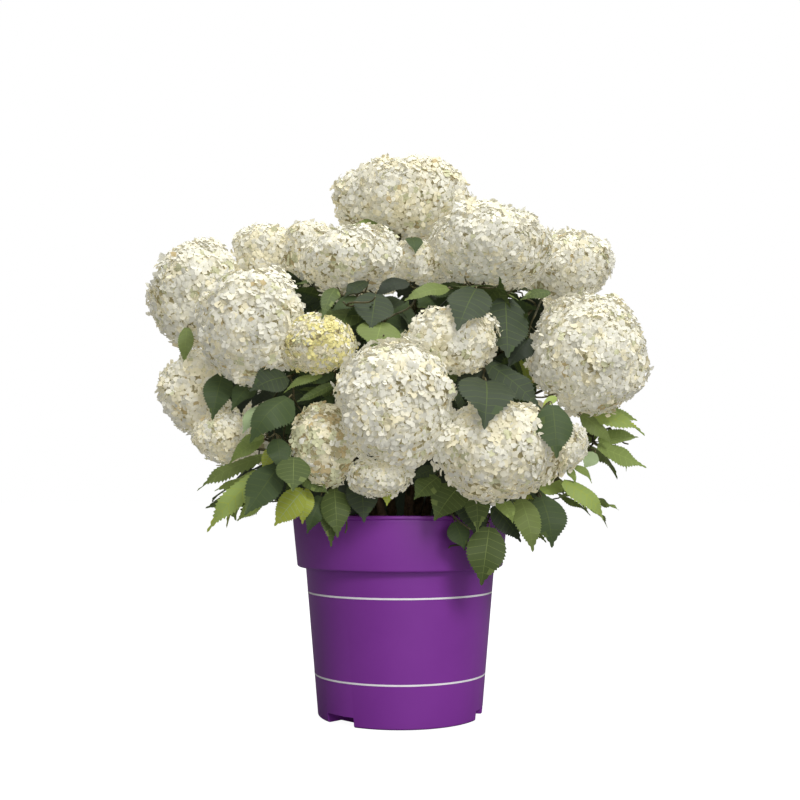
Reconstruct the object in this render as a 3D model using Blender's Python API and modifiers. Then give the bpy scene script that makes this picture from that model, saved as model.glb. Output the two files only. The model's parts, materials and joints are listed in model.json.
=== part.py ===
"""A smooth hydrangea shrub, growing in its plastic nursery pot.

Metres, +Z up. The origin is the centre of the pot's flat underside, the front of the
plant is -Y, and a bearing is counted in degrees from the front towards +X.

The shrub is built as it grows: the pot holds the potting mix, short woody stems rise from
it, masses of leaves fill the crown, and rounded flower heads press into the leaves all
round. Masses that press together are cut on the plane between them, a hair apart.
"""

import math
from dataclasses import dataclass

import bmesh
import bpy
from mathutils import Matrix, Vector, noise
from mathutils.bvhtree import BVHTree

# ---------------------------------------------------------------- driving dimensions

GAP = 0.0003                 # clearance between pieces that touch
WELD = 0.00001               # distance under which cut corners are one

POT_HEIGHT = 0.254
POT_SEGMENTS = 40
RIM_RADIUS = 0.140           # outside, at the lip
SKIRT_RADIUS = 0.132         # outside, at the lower edge of the rim band
SKIRT_HEIGHT = 0.187         # height of that lower edge
BODY_RADIUS = 0.1215         # outside, just under the rim band
FOOT_RADIUS = 0.1045         # outside, where the wall meets the ground
FOOT_ROUND = 0.003
WALL = 0.003
STEP_TOP = SKIRT_HEIGHT + WALL   # where the inside is out at the rim band's width
FLOOR = 0.004
LIP_HEIGHT = 0.004
LIP_PROUD = 0.0012

BENCH_RADIUS = 0.076         # the floor steps up outside this radius, over the notches
BENCH_HEIGHT = 0.016
NOTCH_COUNT = 3
NOTCH_BEARING = -44.5        # first notch
NOTCH_WIDTH = 0.046
NOTCH_DEPTH = 0.024
NOTCH_HEIGHT = 0.012
DRAIN_RADIUS = 0.006
DRAIN_SEGMENTS = 12

MIX_HEIGHT = 0.236           # surface of the potting mix
MIX_SEGMENTS = 32

STEM_COUNT = 6
STEM_BEARING = 18            # first stem
STEM_RING = 0.030            # radius of the ring that the stems rise from
STEM_SPREAD = 0.078          # and how far out they reach
STEM_FOOT_RADIUS = 0.0065
STEM_TIP_RADIUS = 0.0045
STEM_RISE = 0.150            # more than the way to the leaves, where each stem ends
HALVINGS = 12                # how finely that end is found

# ---------------------------------------------------------------- the crown

# A flower head: bearing, reach from the axis and height of its centre, then how wide,
# deep and tall it is, its colour, and how many corners its widest ring has.
FLOWER_HEADS = {
    "flower_head_top": (0, 0.001, 0.670, 0.190, 0.170, 0.113, "cream", 14),
    "flower_head_upper_right": (59, 0.138, 0.589, 0.162, 0.160, 0.111, "white", 14),
    "flower_head_upper_middle": (-35, 0.104, 0.571, 0.126, 0.120, 0.080, "white", 12),
    "flower_head_upper_inner": (21, 0.066, 0.574, 0.076, 0.090, 0.062, "cream", 10),
    "flower_head_upper_left_a": (-95, 0.183, 0.607, 0.090, 0.100, 0.068, "cream", 10),
    "flower_head_upper_left_b": (-92, 0.117, 0.604, 0.080, 0.094, 0.072, "cream", 10),
    "flower_head_upper_far_right": (97, 0.228, 0.591, 0.130, 0.134, 0.092, "white", 12),
    "flower_head_upper_rear_left": (-152, 0.135, 0.602, 0.160, 0.140, 0.105, "cream", 12),
    "flower_head_upper_rear_right": (150, 0.150, 0.598, 0.150, 0.140, 0.105, "white", 12),
    "flower_head_far_left": (-84, 0.262, 0.541, 0.130, 0.130, 0.142, "white", 12),
    "flower_head_left": (-54, 0.218, 0.480, 0.150, 0.142, 0.146, "white", 14),
    "flower_head_young": (-31, 0.186, 0.454, 0.089, 0.074, 0.064, "lime", 10),
    "flower_head_middle_right": (22, 0.162, 0.459, 0.120, 0.096, 0.087, "cream", 12),
    "flower_head_right": (70, 0.250, 0.450, 0.158, 0.162, 0.155, "white", 14),
    "flower_head_right_rear": (101, 0.254, 0.470, 0.120, 0.116, 0.120, "white", 12),
    "flower_head_rear_right": (128, 0.244, 0.500, 0.150, 0.124, 0.135, "cream", 12),
    "flower_head_rear": (166, 0.222, 0.495, 0.150, 0.118, 0.138, "white", 12),
    "flower_head_rear_left": (-156, 0.226, 0.470, 0.140, 0.116, 0.130, "white", 12),
    "flower_head_left_rear": (-122, 0.250, 0.496, 0.140, 0.120, 0.132, "cream", 12),
    "flower_head_front": (-2, 0.200, 0.381, 0.140, 0.112, 0.147, "white", 14),
    "flower_head_low_right": (31, 0.221, 0.329, 0.158, 0.120, 0.110, "cream", 14),
    "flower_head_low_right_small": (61, 0.222, 0.341, 0.052, 0.072, 0.066, "white", 10),
    "flower_head_low_middle": (-7, 0.188, 0.301, 0.067, 0.060, 0.050, "white", 10),
    "flower_head_low_left": (-28, 0.186, 0.336, 0.084, 0.080, 0.099, "cream", 10),
    "flower_head_side_left": (-76, 0.258, 0.404, 0.092, 0.100, 0.106, "cream", 10),
    "flower_head_low_side_left": (-63, 0.240, 0.348, 0.074, 0.076, 0.070, "cream", 10),
    "flower_head_low_right_rear": (122, 0.220, 0.362, 0.104, 0.098, 0.096, "cream", 10),
    "flower_head_low_rear_right": (152, 0.216, 0.350, 0.116, 0.100, 0.104, "white", 10),
    "flower_head_low_rear": (-176, 0.206, 0.362, 0.110, 0.096, 0.106, "cream", 10),
    "flower_head_low_rear_left": (-146, 0.220, 0.348, 0.116, 0.100, 0.104, "white", 10),
    "flower_head_low_left_rear": (-112, 0.234, 0.370, 0.112, 0.100, 0.104, "cream", 10),
}

# The leaves inside the crown stand in tiers of like masses round the axis, on an oval that
# is less deep than wide.
# tier: number of masses, first bearing, reach, height, then wide, deep and tall
LEAF_TIERS = {
    "leaves_heart": (1, 0, 0.000, 0.515, 0.180, 0.170, 0.215),
    "leaves_upper": (5, -90, 0.132, 0.500, 0.230, 0.200, 0.190),
    "leaves_lower": (5, 10, 0.116, 0.378, 0.200, 0.210, 0.185),
}
CROWN_DEPTH = 0.86

# A spray of leaves that leans out of the crown: bearing, reach and height of its middle,
# how wide, long and thick it is, and how far its tip hangs.
LEAF_SPRAYS = {
    "leaves_spray_left": (-70, 0.174, 0.304, 0.134, 0.180, 0.094, 0.054),
    "leaves_spray_right": (86, 0.226, 0.352, 0.124, 0.190, 0.100, 0.012),
    "leaves_spray_right_low": (79, 0.190, 0.297, 0.100, 0.160, 0.060, 0.046),
    "leaves_spray_front_right": (53, 0.172, 0.292, 0.110, 0.130, 0.070, 0.056),
    "leaves_spray_rear_right": (126, 0.184, 0.294, 0.130, 0.180, 0.070, 0.034),
    "leaves_spray_rear": (176, 0.176, 0.292, 0.120, 0.170, 0.070, 0.038),
    "leaves_spray_rear_left": (-130, 0.184, 0.294, 0.130, 0.180, 0.070, 0.034),
}

# Leaves that hang over the rim, outside the pot: bearing, height of the middle, how wide,
# thick and tall.
LEAF_SKIRTS = {
    "leaves_over_rim_left": (-22, 0.262, 0.076, 0.044, 0.092),
    "leaves_over_rim_right": (30, 0.238, 0.092, 0.048, 0.124),
}
SKIRT_REACH = 0.162

LEAF_CORNERS = 12            # how many corners the widest ring of a leaf mass has
FEWEST_RINGS = 6             # and of how few rings a mass is made
HEAD_UNEVEN = 0.07           # swell and dip of a mass, as a part of its size
LEAF_UNEVEN = 0.16
LUMP_SIZE = 0.055            # how far apart the lumps of a mass are
SPRAY_PINCH = 0.45           # how much narrower a spray is at its tip
LIKE_YIELD = 0.5             # part of an overlap that each of two like masses gives up
FLOWER_YIELD = 0.2           # and that a flower head gives up to leaves
NEAREST_CUT = 0.12           # a cut stays this part of the way off either mass's centre

COLOURS = {
    "pot": (0.165, 0.030, 0.235),
    "mix": (0.045, 0.030, 0.022),
    "bark": (0.180, 0.115, 0.070),
    "leaf": (0.060, 0.095, 0.035),
    "cream": (0.780, 0.740, 0.560),
    "white": (0.830, 0.820, 0.740),
    "lime": (0.720, 0.700, 0.330),
}
ROUGHNESS = {"pot": 0.35, "mix": 0.95, "bark": 0.85, "leaf": 0.55}
PETAL_ROUGHNESS = 0.7

# ---------------------------------------------------------------- scene and materials

for old in list(bpy.data.objects):
    bpy.data.objects.remove(old, do_unlink=True)

shrub = bpy.data.collections.new("hydrangea_shrub")
cutters = bpy.data.collections.new("cutters")
for group in (shrub, cutters):
    bpy.context.scene.collection.children.link(group)


def material(colour_name):
    """The Principled material of that colour, made the first time it is asked for."""
    found = bpy.data.materials.get(colour_name)
    if found:
        return found
    made = bpy.data.materials.new(colour_name)
    made.use_nodes = True
    shader = made.node_tree.nodes["Principled BSDF"]
    shader.inputs["Base Color"].default_value = (*COLOURS[colour_name], 1.0)
    shader.inputs["Roughness"].default_value = ROUGHNESS.get(colour_name, PETAL_ROUGHNESS)
    shader.inputs["Metallic"].default_value = 0.0
    return made


def piece(name, mesh, colour_name, collection=shrub):
    """A named object that holds the mesh."""
    made = bpy.data.objects.new(name, mesh)
    mesh.materials.append(material(colour_name))
    collection.objects.link(made)
    return made


def mesh_of(shape, name):
    """A mesh datablock with the shape of a bmesh, which is freed."""
    shape.normal_update()
    bmesh.ops.recalc_face_normals(shape, faces=shape.faces)
    mesh = bpy.data.meshes.new(name)
    shape.to_mesh(mesh)
    shape.free()
    return mesh


# ---------------------------------------------------------------- pot and potting mix


def turned(name, profile, segments, colour_name):
    """A solid of revolution. The profile starts on the axis inside the piece, runs up,
    over the top and down the outside, and ends on the axis underneath."""
    shape = bmesh.new()
    corners = [shape.verts.new((radius, 0.0, height)) for radius, height in profile]
    for corner, following in zip(corners, corners[1:]):
        shape.edges.new((corner, following))
    mesh = bpy.data.meshes.new(name)
    shape.to_mesh(mesh)
    shape.free()
    made = piece(name, mesh, colour_name)
    screw = made.modifiers.new("turn", "SCREW")
    screw.axis = "Z"
    screw.angle = math.tau
    screw.steps = screw.render_steps = segments
    screw.use_merge_vertices = True
    screw.merge_threshold = WELD
    return made


def wall_radius(height):
    """Outside radius of the pot's wall below the rim band."""
    return FOOT_RADIUS + (BODY_RADIUS - FOOT_RADIUS) * height / SKIRT_HEIGHT


def bore_radius(height):
    """Inside radius of the pot."""
    if height <= SKIRT_HEIGHT:
        return wall_radius(height) - WALL
    along_band = (height - SKIRT_HEIGHT) / (POT_HEIGHT - SKIRT_HEIGHT)
    return SKIRT_RADIUS + (RIM_RADIUS - LIP_PROUD - SKIRT_RADIUS) * along_band - WALL


def build_pot():
    """Turned wall and stepped floor, with drain notches cut into its foot."""
    lip_foot = POT_HEIGHT - LIP_HEIGHT
    profile = [
        (0.0, FLOOR),
        (BENCH_RADIUS - FLOOR, FLOOR),
        (BENCH_RADIUS, BENCH_HEIGHT),
        (bore_radius(BENCH_HEIGHT), BENCH_HEIGHT),
        (bore_radius(SKIRT_HEIGHT), SKIRT_HEIGHT),
        (bore_radius(STEP_TOP), STEP_TOP),
        (bore_radius(POT_HEIGHT), POT_HEIGHT),
        (RIM_RADIUS, POT_HEIGHT),
        (RIM_RADIUS, lip_foot),
        (RIM_RADIUS - LIP_PROUD, lip_foot),
        (SKIRT_RADIUS, SKIRT_HEIGHT + WALL / 2),
        (SKIRT_RADIUS - WALL / 2, SKIRT_HEIGHT),
        (BODY_RADIUS, SKIRT_HEIGHT),
        (wall_radius(FOOT_ROUND), FOOT_ROUND),
        (FOOT_RADIUS - FOOT_ROUND, 0.0),
        (0.0, 0.0),
    ]
    pot = turned("pot", profile, POT_SEGMENTS, "pot")
    for index in range(NOTCH_COUNT):
        bearing = math.radians(NOTCH_BEARING + index * 360 / NOTCH_COUNT)
        outward = Vector((math.sin(bearing), -math.cos(bearing), 0.0))
        for cutter in notch_cutters(index, outward):
            cut = pot.modifiers.new(cutter.name, "BOOLEAN")
            cut.operation = "DIFFERENCE"
            cut.solver = "EXACT"
            cut.object = cutter


def notch_cutters(index, outward):
    """The block that leaves a notch under the wall, and the drain hole above it. They are
    two cutters, so that each Boolean stays simple."""
    turn = outward.to_track_quat("X", "Z").to_matrix().to_4x4()
    overrun = FOOT_ROUND * 2
    inner = FOOT_RADIUS - NOTCH_DEPTH
    block = bmesh.new()
    bmesh.ops.create_cube(block, size=1.0)
    size = (NOTCH_DEPTH + overrun, NOTCH_WIDTH, NOTCH_HEIGHT + overrun)
    bmesh.ops.scale(block, vec=size, verts=block.verts)
    middle = (inner + size[0] / 2, 0.0, NOTCH_HEIGHT - size[2] / 2)
    drain = bmesh.new()
    bmesh.ops.create_cone(
        drain,
        cap_ends=True,
        segments=DRAIN_SEGMENTS,
        radius1=DRAIN_RADIUS,
        radius2=DRAIN_RADIUS,
        depth=BENCH_HEIGHT,
    )
    drain_place = (inner + NOTCH_DEPTH / 2, 0.0, BENCH_HEIGHT)
    made = []
    for kind, shape, place in (("notch", block, middle), ("drain", drain, drain_place)):
        name = f"{kind}_cutter_{index + 1}"
        shape.transform(turn @ Matrix.Translation(place))
        cutter = piece(name, mesh_of(shape, name), "pot", cutters)
        cutter.hide_render = True
        cutter.display_type = "WIRE"
        made.append(cutter)
    return made


def build_mix():
    """The potting mix: it fills the pot to just under the rim and is flat round the stems."""

    def inside(radius):
        """The radius that clears the flats of the pot's facets there."""
        return radius * math.cos(math.pi / POT_SEGMENTS) - GAP

    profile = [
        (0.0, MIX_HEIGHT),
        (inside(bore_radius(MIX_HEIGHT)), MIX_HEIGHT),
        (inside(bore_radius(STEP_TOP)), STEP_TOP),
        (inside(bore_radius(SKIRT_HEIGHT)), SKIRT_HEIGHT),
        (inside(bore_radius(BENCH_HEIGHT)), BENCH_HEIGHT + GAP),
        (inside(BENCH_RADIUS), BENCH_HEIGHT + GAP),
        (inside(BENCH_RADIUS - FLOOR), FLOOR + GAP),
        (0.0, FLOOR + GAP),
    ]
    turned("potting_mix", profile, MIX_SEGMENTS, "mix")


# ---------------------------------------------------------------- masses


@dataclass
class Mass:
    """One closed, uneven mass of the crown while it is being shaped."""

    name: str
    centre: Vector
    turn: Matrix             # local X points out of the crown, local Z up
    half: Vector             # half of deep, wide and tall
    colour: str
    shape: bmesh.types.BMesh

    def radius_towards(self, direction):
        """Distance from the centre to the smooth surface, along a unit direction."""
        local = self.turn.transposed() @ direction
        return 1.0 / math.sqrt(sum((local[i] / self.half[i]) ** 2 for i in range(3)))


def place_at(bearing_deg, reach, height, depth=1.0):
    """The point at that bearing, and the turn that points local X outwards there. depth
    brings the front and the rear nearer to the axis."""
    bearing = math.radians(bearing_deg)
    outward = Vector((math.sin(bearing), -math.cos(bearing), 0.0))
    sideways = Vector((0.0, 0.0, 1.0)).cross(outward)
    turn = Matrix((outward, sideways, Vector((0.0, 0.0, 1.0)))).transposed()
    return Vector((outward.x * reach, outward.y * reach * depth, height)), turn


def mass(name, place, size, colour, uneven, corners, pinch=0.0, hang=0.0):
    """An uneven ball of that size (wide, deep, tall). pinch narrows it towards its outer
    end, and hang lets that end down."""
    centre, turn = place
    wide, deep, tall = size
    half = Vector((deep, wide, tall)) / 2
    shape = bmesh.new()
    rings = max(FEWEST_RINGS, corners // 2)
    bmesh.ops.create_uvsphere(shape, u_segments=corners, v_segments=rings, radius=1.0)
    shift = Vector((len(name), 0.0, 0.0))
    for vert in shape.verts:
        along = (vert.co.x + 1.0) / 2
        slim = 1.0 - pinch * along
        local = Vector((vert.co.x * half.x, vert.co.y * half.y * slim, vert.co.z * half.z * slim))
        local *= 1.0 + uneven * noise.noise((centre + turn @ local) / LUMP_SIZE + shift)
        local.z -= hang * along**2
        vert.co = centre + turn @ local
    return Mass(name, centre, turn, half, colour, shape)


def cut_off(shape, point, outward):
    """Cuts away what lies beyond the plane and closes the cut with a flat face."""
    geometry = list(shape.verts) + list(shape.edges) + list(shape.faces)
    cut = bmesh.ops.bisect_plane(
        shape, geom=geometry, dist=WELD, plane_co=point, plane_no=outward, clear_outer=True
    )
    rim = [item for item in cut["geom_cut"] if isinstance(item, bmesh.types.BMEdge)]
    if rim:
        bmesh.ops.holes_fill(shape, edges=rim, sides=0)
        bmesh.ops.remove_doubles(shape, verts=shape.verts, dist=WELD)


def yielded(one, other):
    """The part of their overlap that the first of two masses gives up."""
    if (one.colour == "leaf") == (other.colour == "leaf"):
        return LIKE_YIELD
    return 1.0 - FLOWER_YIELD if one.colour == "leaf" else FLOWER_YIELD


def press_together(masses):
    """Cuts each two masses that meet on the plane between them, a gap apart."""
    for index, one in enumerate(masses):
        for other in masses[index + 1 :]:
            way = other.centre - one.centre
            distance = way.length
            direction = way / distance
            near = one.radius_towards(direction)
            far = other.radius_towards(-direction)
            slack = (one.half.length + other.half.length) / 2
            if distance > near + far + slack:
                continue
            overlap = near + far - distance
            at = near - overlap * yielded(one, other)
            at = min(max(at, distance * NEAREST_CUT), distance * (1.0 - NEAREST_CUT))
            cut_off(one.shape, one.centre + direction * (at - GAP / 2), direction)
            cut_off(other.shape, one.centre + direction * (at + GAP / 2), -direction)


def build_crown():
    """All the masses of the crown, shaped, cut to each other and made into objects."""
    masses = []
    for name, (bearing, reach, height, wide, deep, tall, colour, corners) in FLOWER_HEADS.items():
        place = place_at(bearing, reach, height)
        masses.append(mass(name, place, (wide, deep, tall), colour, HEAD_UNEVEN, corners))
    for tier, (count, first, reach, height, wide, deep, tall) in LEAF_TIERS.items():
        for index in range(count):
            place = place_at(first + index * 360 / count, reach, height, CROWN_DEPTH)
            name = f"{tier}_{index + 1}" if count > 1 else tier
            masses.append(mass(name, place, (wide, deep, tall), "leaf", LEAF_UNEVEN, LEAF_CORNERS))
    for name, (bearing, reach, height, wide, long, thick, hang) in LEAF_SPRAYS.items():
        place = place_at(bearing, reach, height)
        size = (wide, long, thick)
        masses.append(mass(name, place, size, "leaf", LEAF_UNEVEN, LEAF_CORNERS, SPRAY_PINCH, hang))
    for name, (bearing, height, wide, thick, tall) in LEAF_SKIRTS.items():
        place = place_at(bearing, SKIRT_REACH, height)
        skirt = mass(name, place, (wide, thick, tall), "leaf", LEAF_UNEVEN, LEAF_CORNERS)
        outward = place[1].col[0]
        cut_off(skirt.shape, outward * (RIM_RADIUS + GAP), -outward)
        masses.append(skirt)
    press_together(masses)
    for each in masses:
        piece(each.name, mesh_of(each.shape, each.name), each.colour)


# ---------------------------------------------------------------- stems


def limb(name, foot, top, foot_radius, top_radius):
    """The mesh of one tapering limb that leaves the ground upright and leans out."""
    line = bpy.data.curves.new(name, "CURVE")
    line.dimensions = "3D"
    line.bevel_depth = 1.0
    line.bevel_resolution = 1
    line.use_fill_caps = True
    line.resolution_u = 3
    spline = line.splines.new("BEZIER")
    spline.bezier_points.add(1)
    rise = Vector((0.0, 0.0, (top.z - foot.z) / 3))
    lean = (top - foot) / 3
    for point, where, handle, radius in (
        (spline.bezier_points[0], foot, rise, foot_radius),
        (spline.bezier_points[1], top, lean, top_radius),
    ):
        point.co = where
        point.handle_left = where - handle
        point.handle_right = where + handle
        point.radius = radius
    guide = bpy.data.objects.new(f"{name}_line", line)
    cutters.objects.link(guide)
    bpy.context.view_layer.update()
    evaluated = guide.evaluated_get(bpy.context.evaluated_depsgraph_get())
    mesh = bpy.data.meshes.new_from_object(evaluated)
    bpy.data.objects.remove(guide, do_unlink=True)
    shape = bmesh.new()
    shape.from_mesh(mesh)
    bmesh.ops.remove_doubles(shape, verts=shape.verts, dist=WELD)
    bpy.data.meshes.remove(mesh)
    return shape


def entry_height(limb_shape, foot, top, leaves):
    """The height at which a limb enters the leaves, found by halving the way up."""
    free, inside = foot.z, top.z
    for _ in range(HALVINGS):
        height = (free + inside) / 2
        trial = limb_shape.copy()
        cut_off(trial, Vector((0.0, 0.0, height)), Vector((0.0, 0.0, 1.0)))
        meets = any(tree.overlap(BVHTree.FromBMesh(trial)) for tree in leaves)
        trial.free()
        free, inside = (free, height) if meets else (height, inside)
    return free


def build_stems():
    """Woody stems from the potting mix to where each enters the leaves above it."""
    graph = bpy.context.evaluated_depsgraph_get()
    crown = [made for made in shrub.objects if made.name.startswith(("leaves_", "flower_"))]
    leaves = [BVHTree.FromObject(made, graph) for made in crown]
    for index in range(STEM_COUNT):
        name = f"stem_{index + 1}"
        bearing = STEM_BEARING + index * 360 / STEM_COUNT
        foot, _ = place_at(bearing, STEM_RING, MIX_HEIGHT + GAP)
        top, _ = place_at(bearing, STEM_SPREAD, MIX_HEIGHT + STEM_RISE)
        shape = limb(name, foot, top, STEM_FOOT_RADIUS, STEM_TIP_RADIUS)
        height = entry_height(shape, foot, top, leaves) - GAP
        cut_off(shape, Vector((0.0, 0.0, height)), Vector((0.0, 0.0, 1.0)))
        piece(name, mesh_of(shape, name), "bark")


build_pot()
build_mix()
build_crown()
bpy.context.view_layer.update()
build_stems()
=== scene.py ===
"""A smooth hydrangea shrub in full flower, growing in its moulded nursery pot.

Metres, +Z up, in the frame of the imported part: the origin is the centre of the pot's flat
underside and the front of the plant is -Y. The sections follow the plant as it grows: pot,
printed bands, potting mix, canes, shoots, flower heads, leaves, and the studio round it.
"""

import json
import math

import bmesh
import bpy
import numpy as np
from mathutils import Matrix, Vector, noise
from mathutils.bvhtree import BVHTree
from mathutils.geometry import interpolate_bezier


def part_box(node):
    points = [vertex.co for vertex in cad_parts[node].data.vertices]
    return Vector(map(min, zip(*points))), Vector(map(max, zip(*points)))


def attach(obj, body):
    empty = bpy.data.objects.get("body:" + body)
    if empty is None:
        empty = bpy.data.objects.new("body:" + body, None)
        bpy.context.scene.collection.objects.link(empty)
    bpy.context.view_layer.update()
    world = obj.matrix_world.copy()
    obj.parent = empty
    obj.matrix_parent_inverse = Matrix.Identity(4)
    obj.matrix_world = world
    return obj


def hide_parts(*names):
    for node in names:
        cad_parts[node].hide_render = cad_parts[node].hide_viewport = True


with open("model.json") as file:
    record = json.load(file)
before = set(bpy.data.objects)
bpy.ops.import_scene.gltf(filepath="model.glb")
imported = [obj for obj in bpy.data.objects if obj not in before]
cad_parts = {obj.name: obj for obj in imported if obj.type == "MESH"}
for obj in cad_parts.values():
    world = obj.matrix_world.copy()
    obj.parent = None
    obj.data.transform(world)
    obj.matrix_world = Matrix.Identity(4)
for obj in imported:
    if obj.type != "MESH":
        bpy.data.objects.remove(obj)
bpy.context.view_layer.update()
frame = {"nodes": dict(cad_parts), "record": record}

# ------------------------------------------------------------------------------------ pot
# The pot is one injection moulding in purple polypropylene: a tapered wall, a wider rim
# band that ends in a rolled lip, and a stepped floor over three drain notches. Its section
# is turned into a shell, then the notches and drain holes are cut through.

POT_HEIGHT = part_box("pot")[1].z
RIM_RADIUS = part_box("pot")[1].x
SKIRT_RADIUS = 0.132         # outside, at the lower edge of the rim band
SKIRT_HEIGHT = 0.187
BODY_RADIUS = 0.1215         # outside, just under the rim band
FOOT_RADIUS = 0.1045
WALL = 0.003
FLOOR = 0.004
LIP_HEIGHT = 0.0038
LIP_PROUD = 0.0014
GROOVE = 0.0007              # how deep the line under the lip is
BENCH_RADIUS = 0.076         # the floor steps up outside this radius
BENCH_HEIGHT = 0.016
TURN_STEPS = 160
ROUND_STEPS = 5
NOTCH_COUNT = 3
NOTCH_BEARING = -44.5
NOTCH_SIZE = (0.030, 0.046, 0.018)   # through the wall, along it, and up, half of the foot's
NOTCH_HEIGHT = 0.012
NOTCH_INNER = FOOT_RADIUS - 0.024
DRAIN_RADIUS = 0.006
DRAIN_SIDES = 24
SHARP_ANGLE = math.radians(40)
TOUCH = 0.000002             # corners nearer than this are one

PLASTIC_DARK = (0.230, 0.034, 0.342)
PLASTIC_LIGHT = (0.254, 0.040, 0.374)
PATCH_DETAIL, PATCH_ROUGHNESS = 5.0, 0.62
PATCH_EDGES = (0.32, 0.68)   # noise levels at which a patch is all dark or all light
GRAIN_DETAIL = 3.0


def rounded(corners):
    """The section through corners of radius, height and round, with each round drawn in."""
    line = []
    for index, (radius, height, bend) in enumerate(corners):
        here = Vector((radius, height))
        if not bend:
            line.append(here)
            continue
        before = (Vector(corners[index - 1][:2]) - here).normalized()
        after = (Vector(corners[index + 1][:2]) - here).normalized()
        half = before.angle(after) / 2
        centre = here + (before + after).normalized() * bend / math.sin(half)
        reach = bend / math.tan(half)
        first = (here + before * reach - centre).normalized()
        last = (here + after * reach - centre).normalized()
        line += [centre + first.slerp(last, step / ROUND_STEPS) * bend for step in range(ROUND_STEPS + 1)]
    return line


def spin_round(shape, line, edges, steps=TURN_STEPS):
    """Spins a section once round Z."""
    bmesh.ops.spin(
        shape, geom=line + edges, cent=(0, 0, 0), axis=(0, 0, 1), angle=math.tau,
        steps=steps, use_merge=True,
    )


def turned(corners, steps=TURN_STEPS):
    """A closed shape turned round Z from its section, which starts and ends on the axis."""
    shape = bmesh.new()
    line = [shape.verts.new((radius, 0.0, height)) for radius, height in rounded(corners)]
    edges = [shape.edges.new(pair) for pair in zip(line, line[1:])]
    spin_round(shape, line, edges, steps)
    bmesh.ops.remove_doubles(shape, verts=shape.verts, dist=TOUCH)
    bmesh.ops.recalc_face_normals(shape, faces=shape.faces)
    return shape


def mesh_of(name, shape):
    """A smooth mesh with the shape of a bmesh, which is freed."""
    mesh = bpy.data.meshes.new(name)
    shape.to_mesh(mesh)
    shape.free()
    mesh.shade_smooth()
    return mesh


def placed(name, data):
    """A new object in the scene that holds a mesh, curve, lamp or camera."""
    made = bpy.data.objects.new(name, data)
    bpy.context.scene.collection.objects.link(made)
    return made


def piece(name, mesh, materials, nodes=()):
    """A shown piece that rides with the plant and stands for those CAD nodes."""
    made = placed(name, mesh)
    for material in materials:
        mesh.materials.append(material)
    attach(made, "root")
    if nodes:
        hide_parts(*nodes)
    return made


def set_sockets(node, values):
    """Sets a node's sockets by name."""
    for socket, value in values.items():
        node.inputs[socket].default_value = value


def mottle_group():
    """Two colours in soft patches with finer flecks, and a fine grain, on Object coordinates."""
    group = bpy.data.node_groups.new("mottle", "ShaderNodeTree")
    for name, kind in (("Dark", "Color"), ("Light", "Color"), ("Patches", "Float"), ("Grain", "Float")):
        group.interface.new_socket(name=name, in_out="INPUT", socket_type="NodeSocket" + kind)
    for name, kind in (("Color", "Color"), ("Grain", "Float")):
        group.interface.new_socket(name=name, in_out="OUTPUT", socket_type="NodeSocket" + kind)
    nodes, link = group.nodes, group.links.new
    given, shown = nodes.new("NodeGroupInput"), nodes.new("NodeGroupOutput")
    place = nodes.new("ShaderNodeTexCoord")
    patches, grain = nodes.new("ShaderNodeTexNoise"), nodes.new("ShaderNodeTexNoise")
    set_sockets(patches, {"Detail": PATCH_DETAIL, "Roughness": PATCH_ROUGHNESS})
    set_sockets(grain, {"Detail": GRAIN_DETAIL})
    spread = nodes.new("ShaderNodeMapRange")
    set_sockets(spread, {"From Min": PATCH_EDGES[0], "From Max": PATCH_EDGES[1]})
    blend = nodes.new("ShaderNodeMix")
    blend.data_type = "RGBA"
    for texture, scale in ((patches, "Patches"), (grain, "Grain")):
        link(place.outputs["Object"], texture.inputs["Vector"])
        link(given.outputs[scale], texture.inputs["Scale"])
    link(patches.outputs["Fac"], spread.inputs["Value"])
    link(spread.outputs["Result"], blend.inputs["Factor"])
    link(given.outputs["Dark"], blend.inputs["A"])
    link(given.outputs["Light"], blend.inputs["B"])
    link(blend.outputs["Result"], shown.inputs["Color"])
    link(grain.outputs["Fac"], shown.inputs["Grain"])
    return group


MOTTLE = mottle_group()


def new_material(name, roughness, specular):
    """A material that has its gloss but no colour yet, and its shader."""
    made = bpy.data.materials.new(name)
    made.use_nodes = True
    shader = made.node_tree.nodes["Principled BSDF"]
    set_sockets(shader, {"Roughness": roughness, "Specular IOR Level": specular})
    return made, shader


def mottled(name, dark, light, patches, grain, relief, roughness, specular=0.5):
    """A material in two blended colours, with a fine grain in its relief."""
    made, shader = new_material(name, roughness, specular)
    nodes, link = made.node_tree.nodes, made.node_tree.links.new
    colour = nodes.new("ShaderNodeGroup")
    colour.node_tree = MOTTLE
    set_sockets(colour, {"Dark": (*dark, 1), "Light": (*light, 1), "Patches": patches, "Grain": grain})
    bump = nodes.new("ShaderNodeBump")
    set_sockets(bump, {"Distance": relief})
    link(colour.outputs["Color"], shader.inputs["Base Color"])
    link(colour.outputs["Grain"], bump.inputs["Height"])
    link(bump.outputs["Normal"], shader.inputs["Normal"])
    return made


def wall_radius(height):
    """Outside radius of the pot's wall below the rim band."""
    return FOOT_RADIUS + (BODY_RADIUS - FOOT_RADIUS) * height / SKIRT_HEIGHT


def outward(bearing):
    """The level direction at a bearing, in degrees from the front towards +X."""
    return Vector((math.sin(math.radians(bearing)), -math.cos(math.radians(bearing)), 0.0))


def cutter(shapes):
    """A hidden object that holds several shapes to cut with."""
    joined = bmesh.new()
    for shape in shapes:
        spare = bpy.data.meshes.new("spare")
        shape.to_mesh(spare)
        shape.free()
        joined.from_mesh(spare)
        bpy.data.meshes.remove(spare)
    return placed("cutter", mesh_of("cutter", joined))


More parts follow.
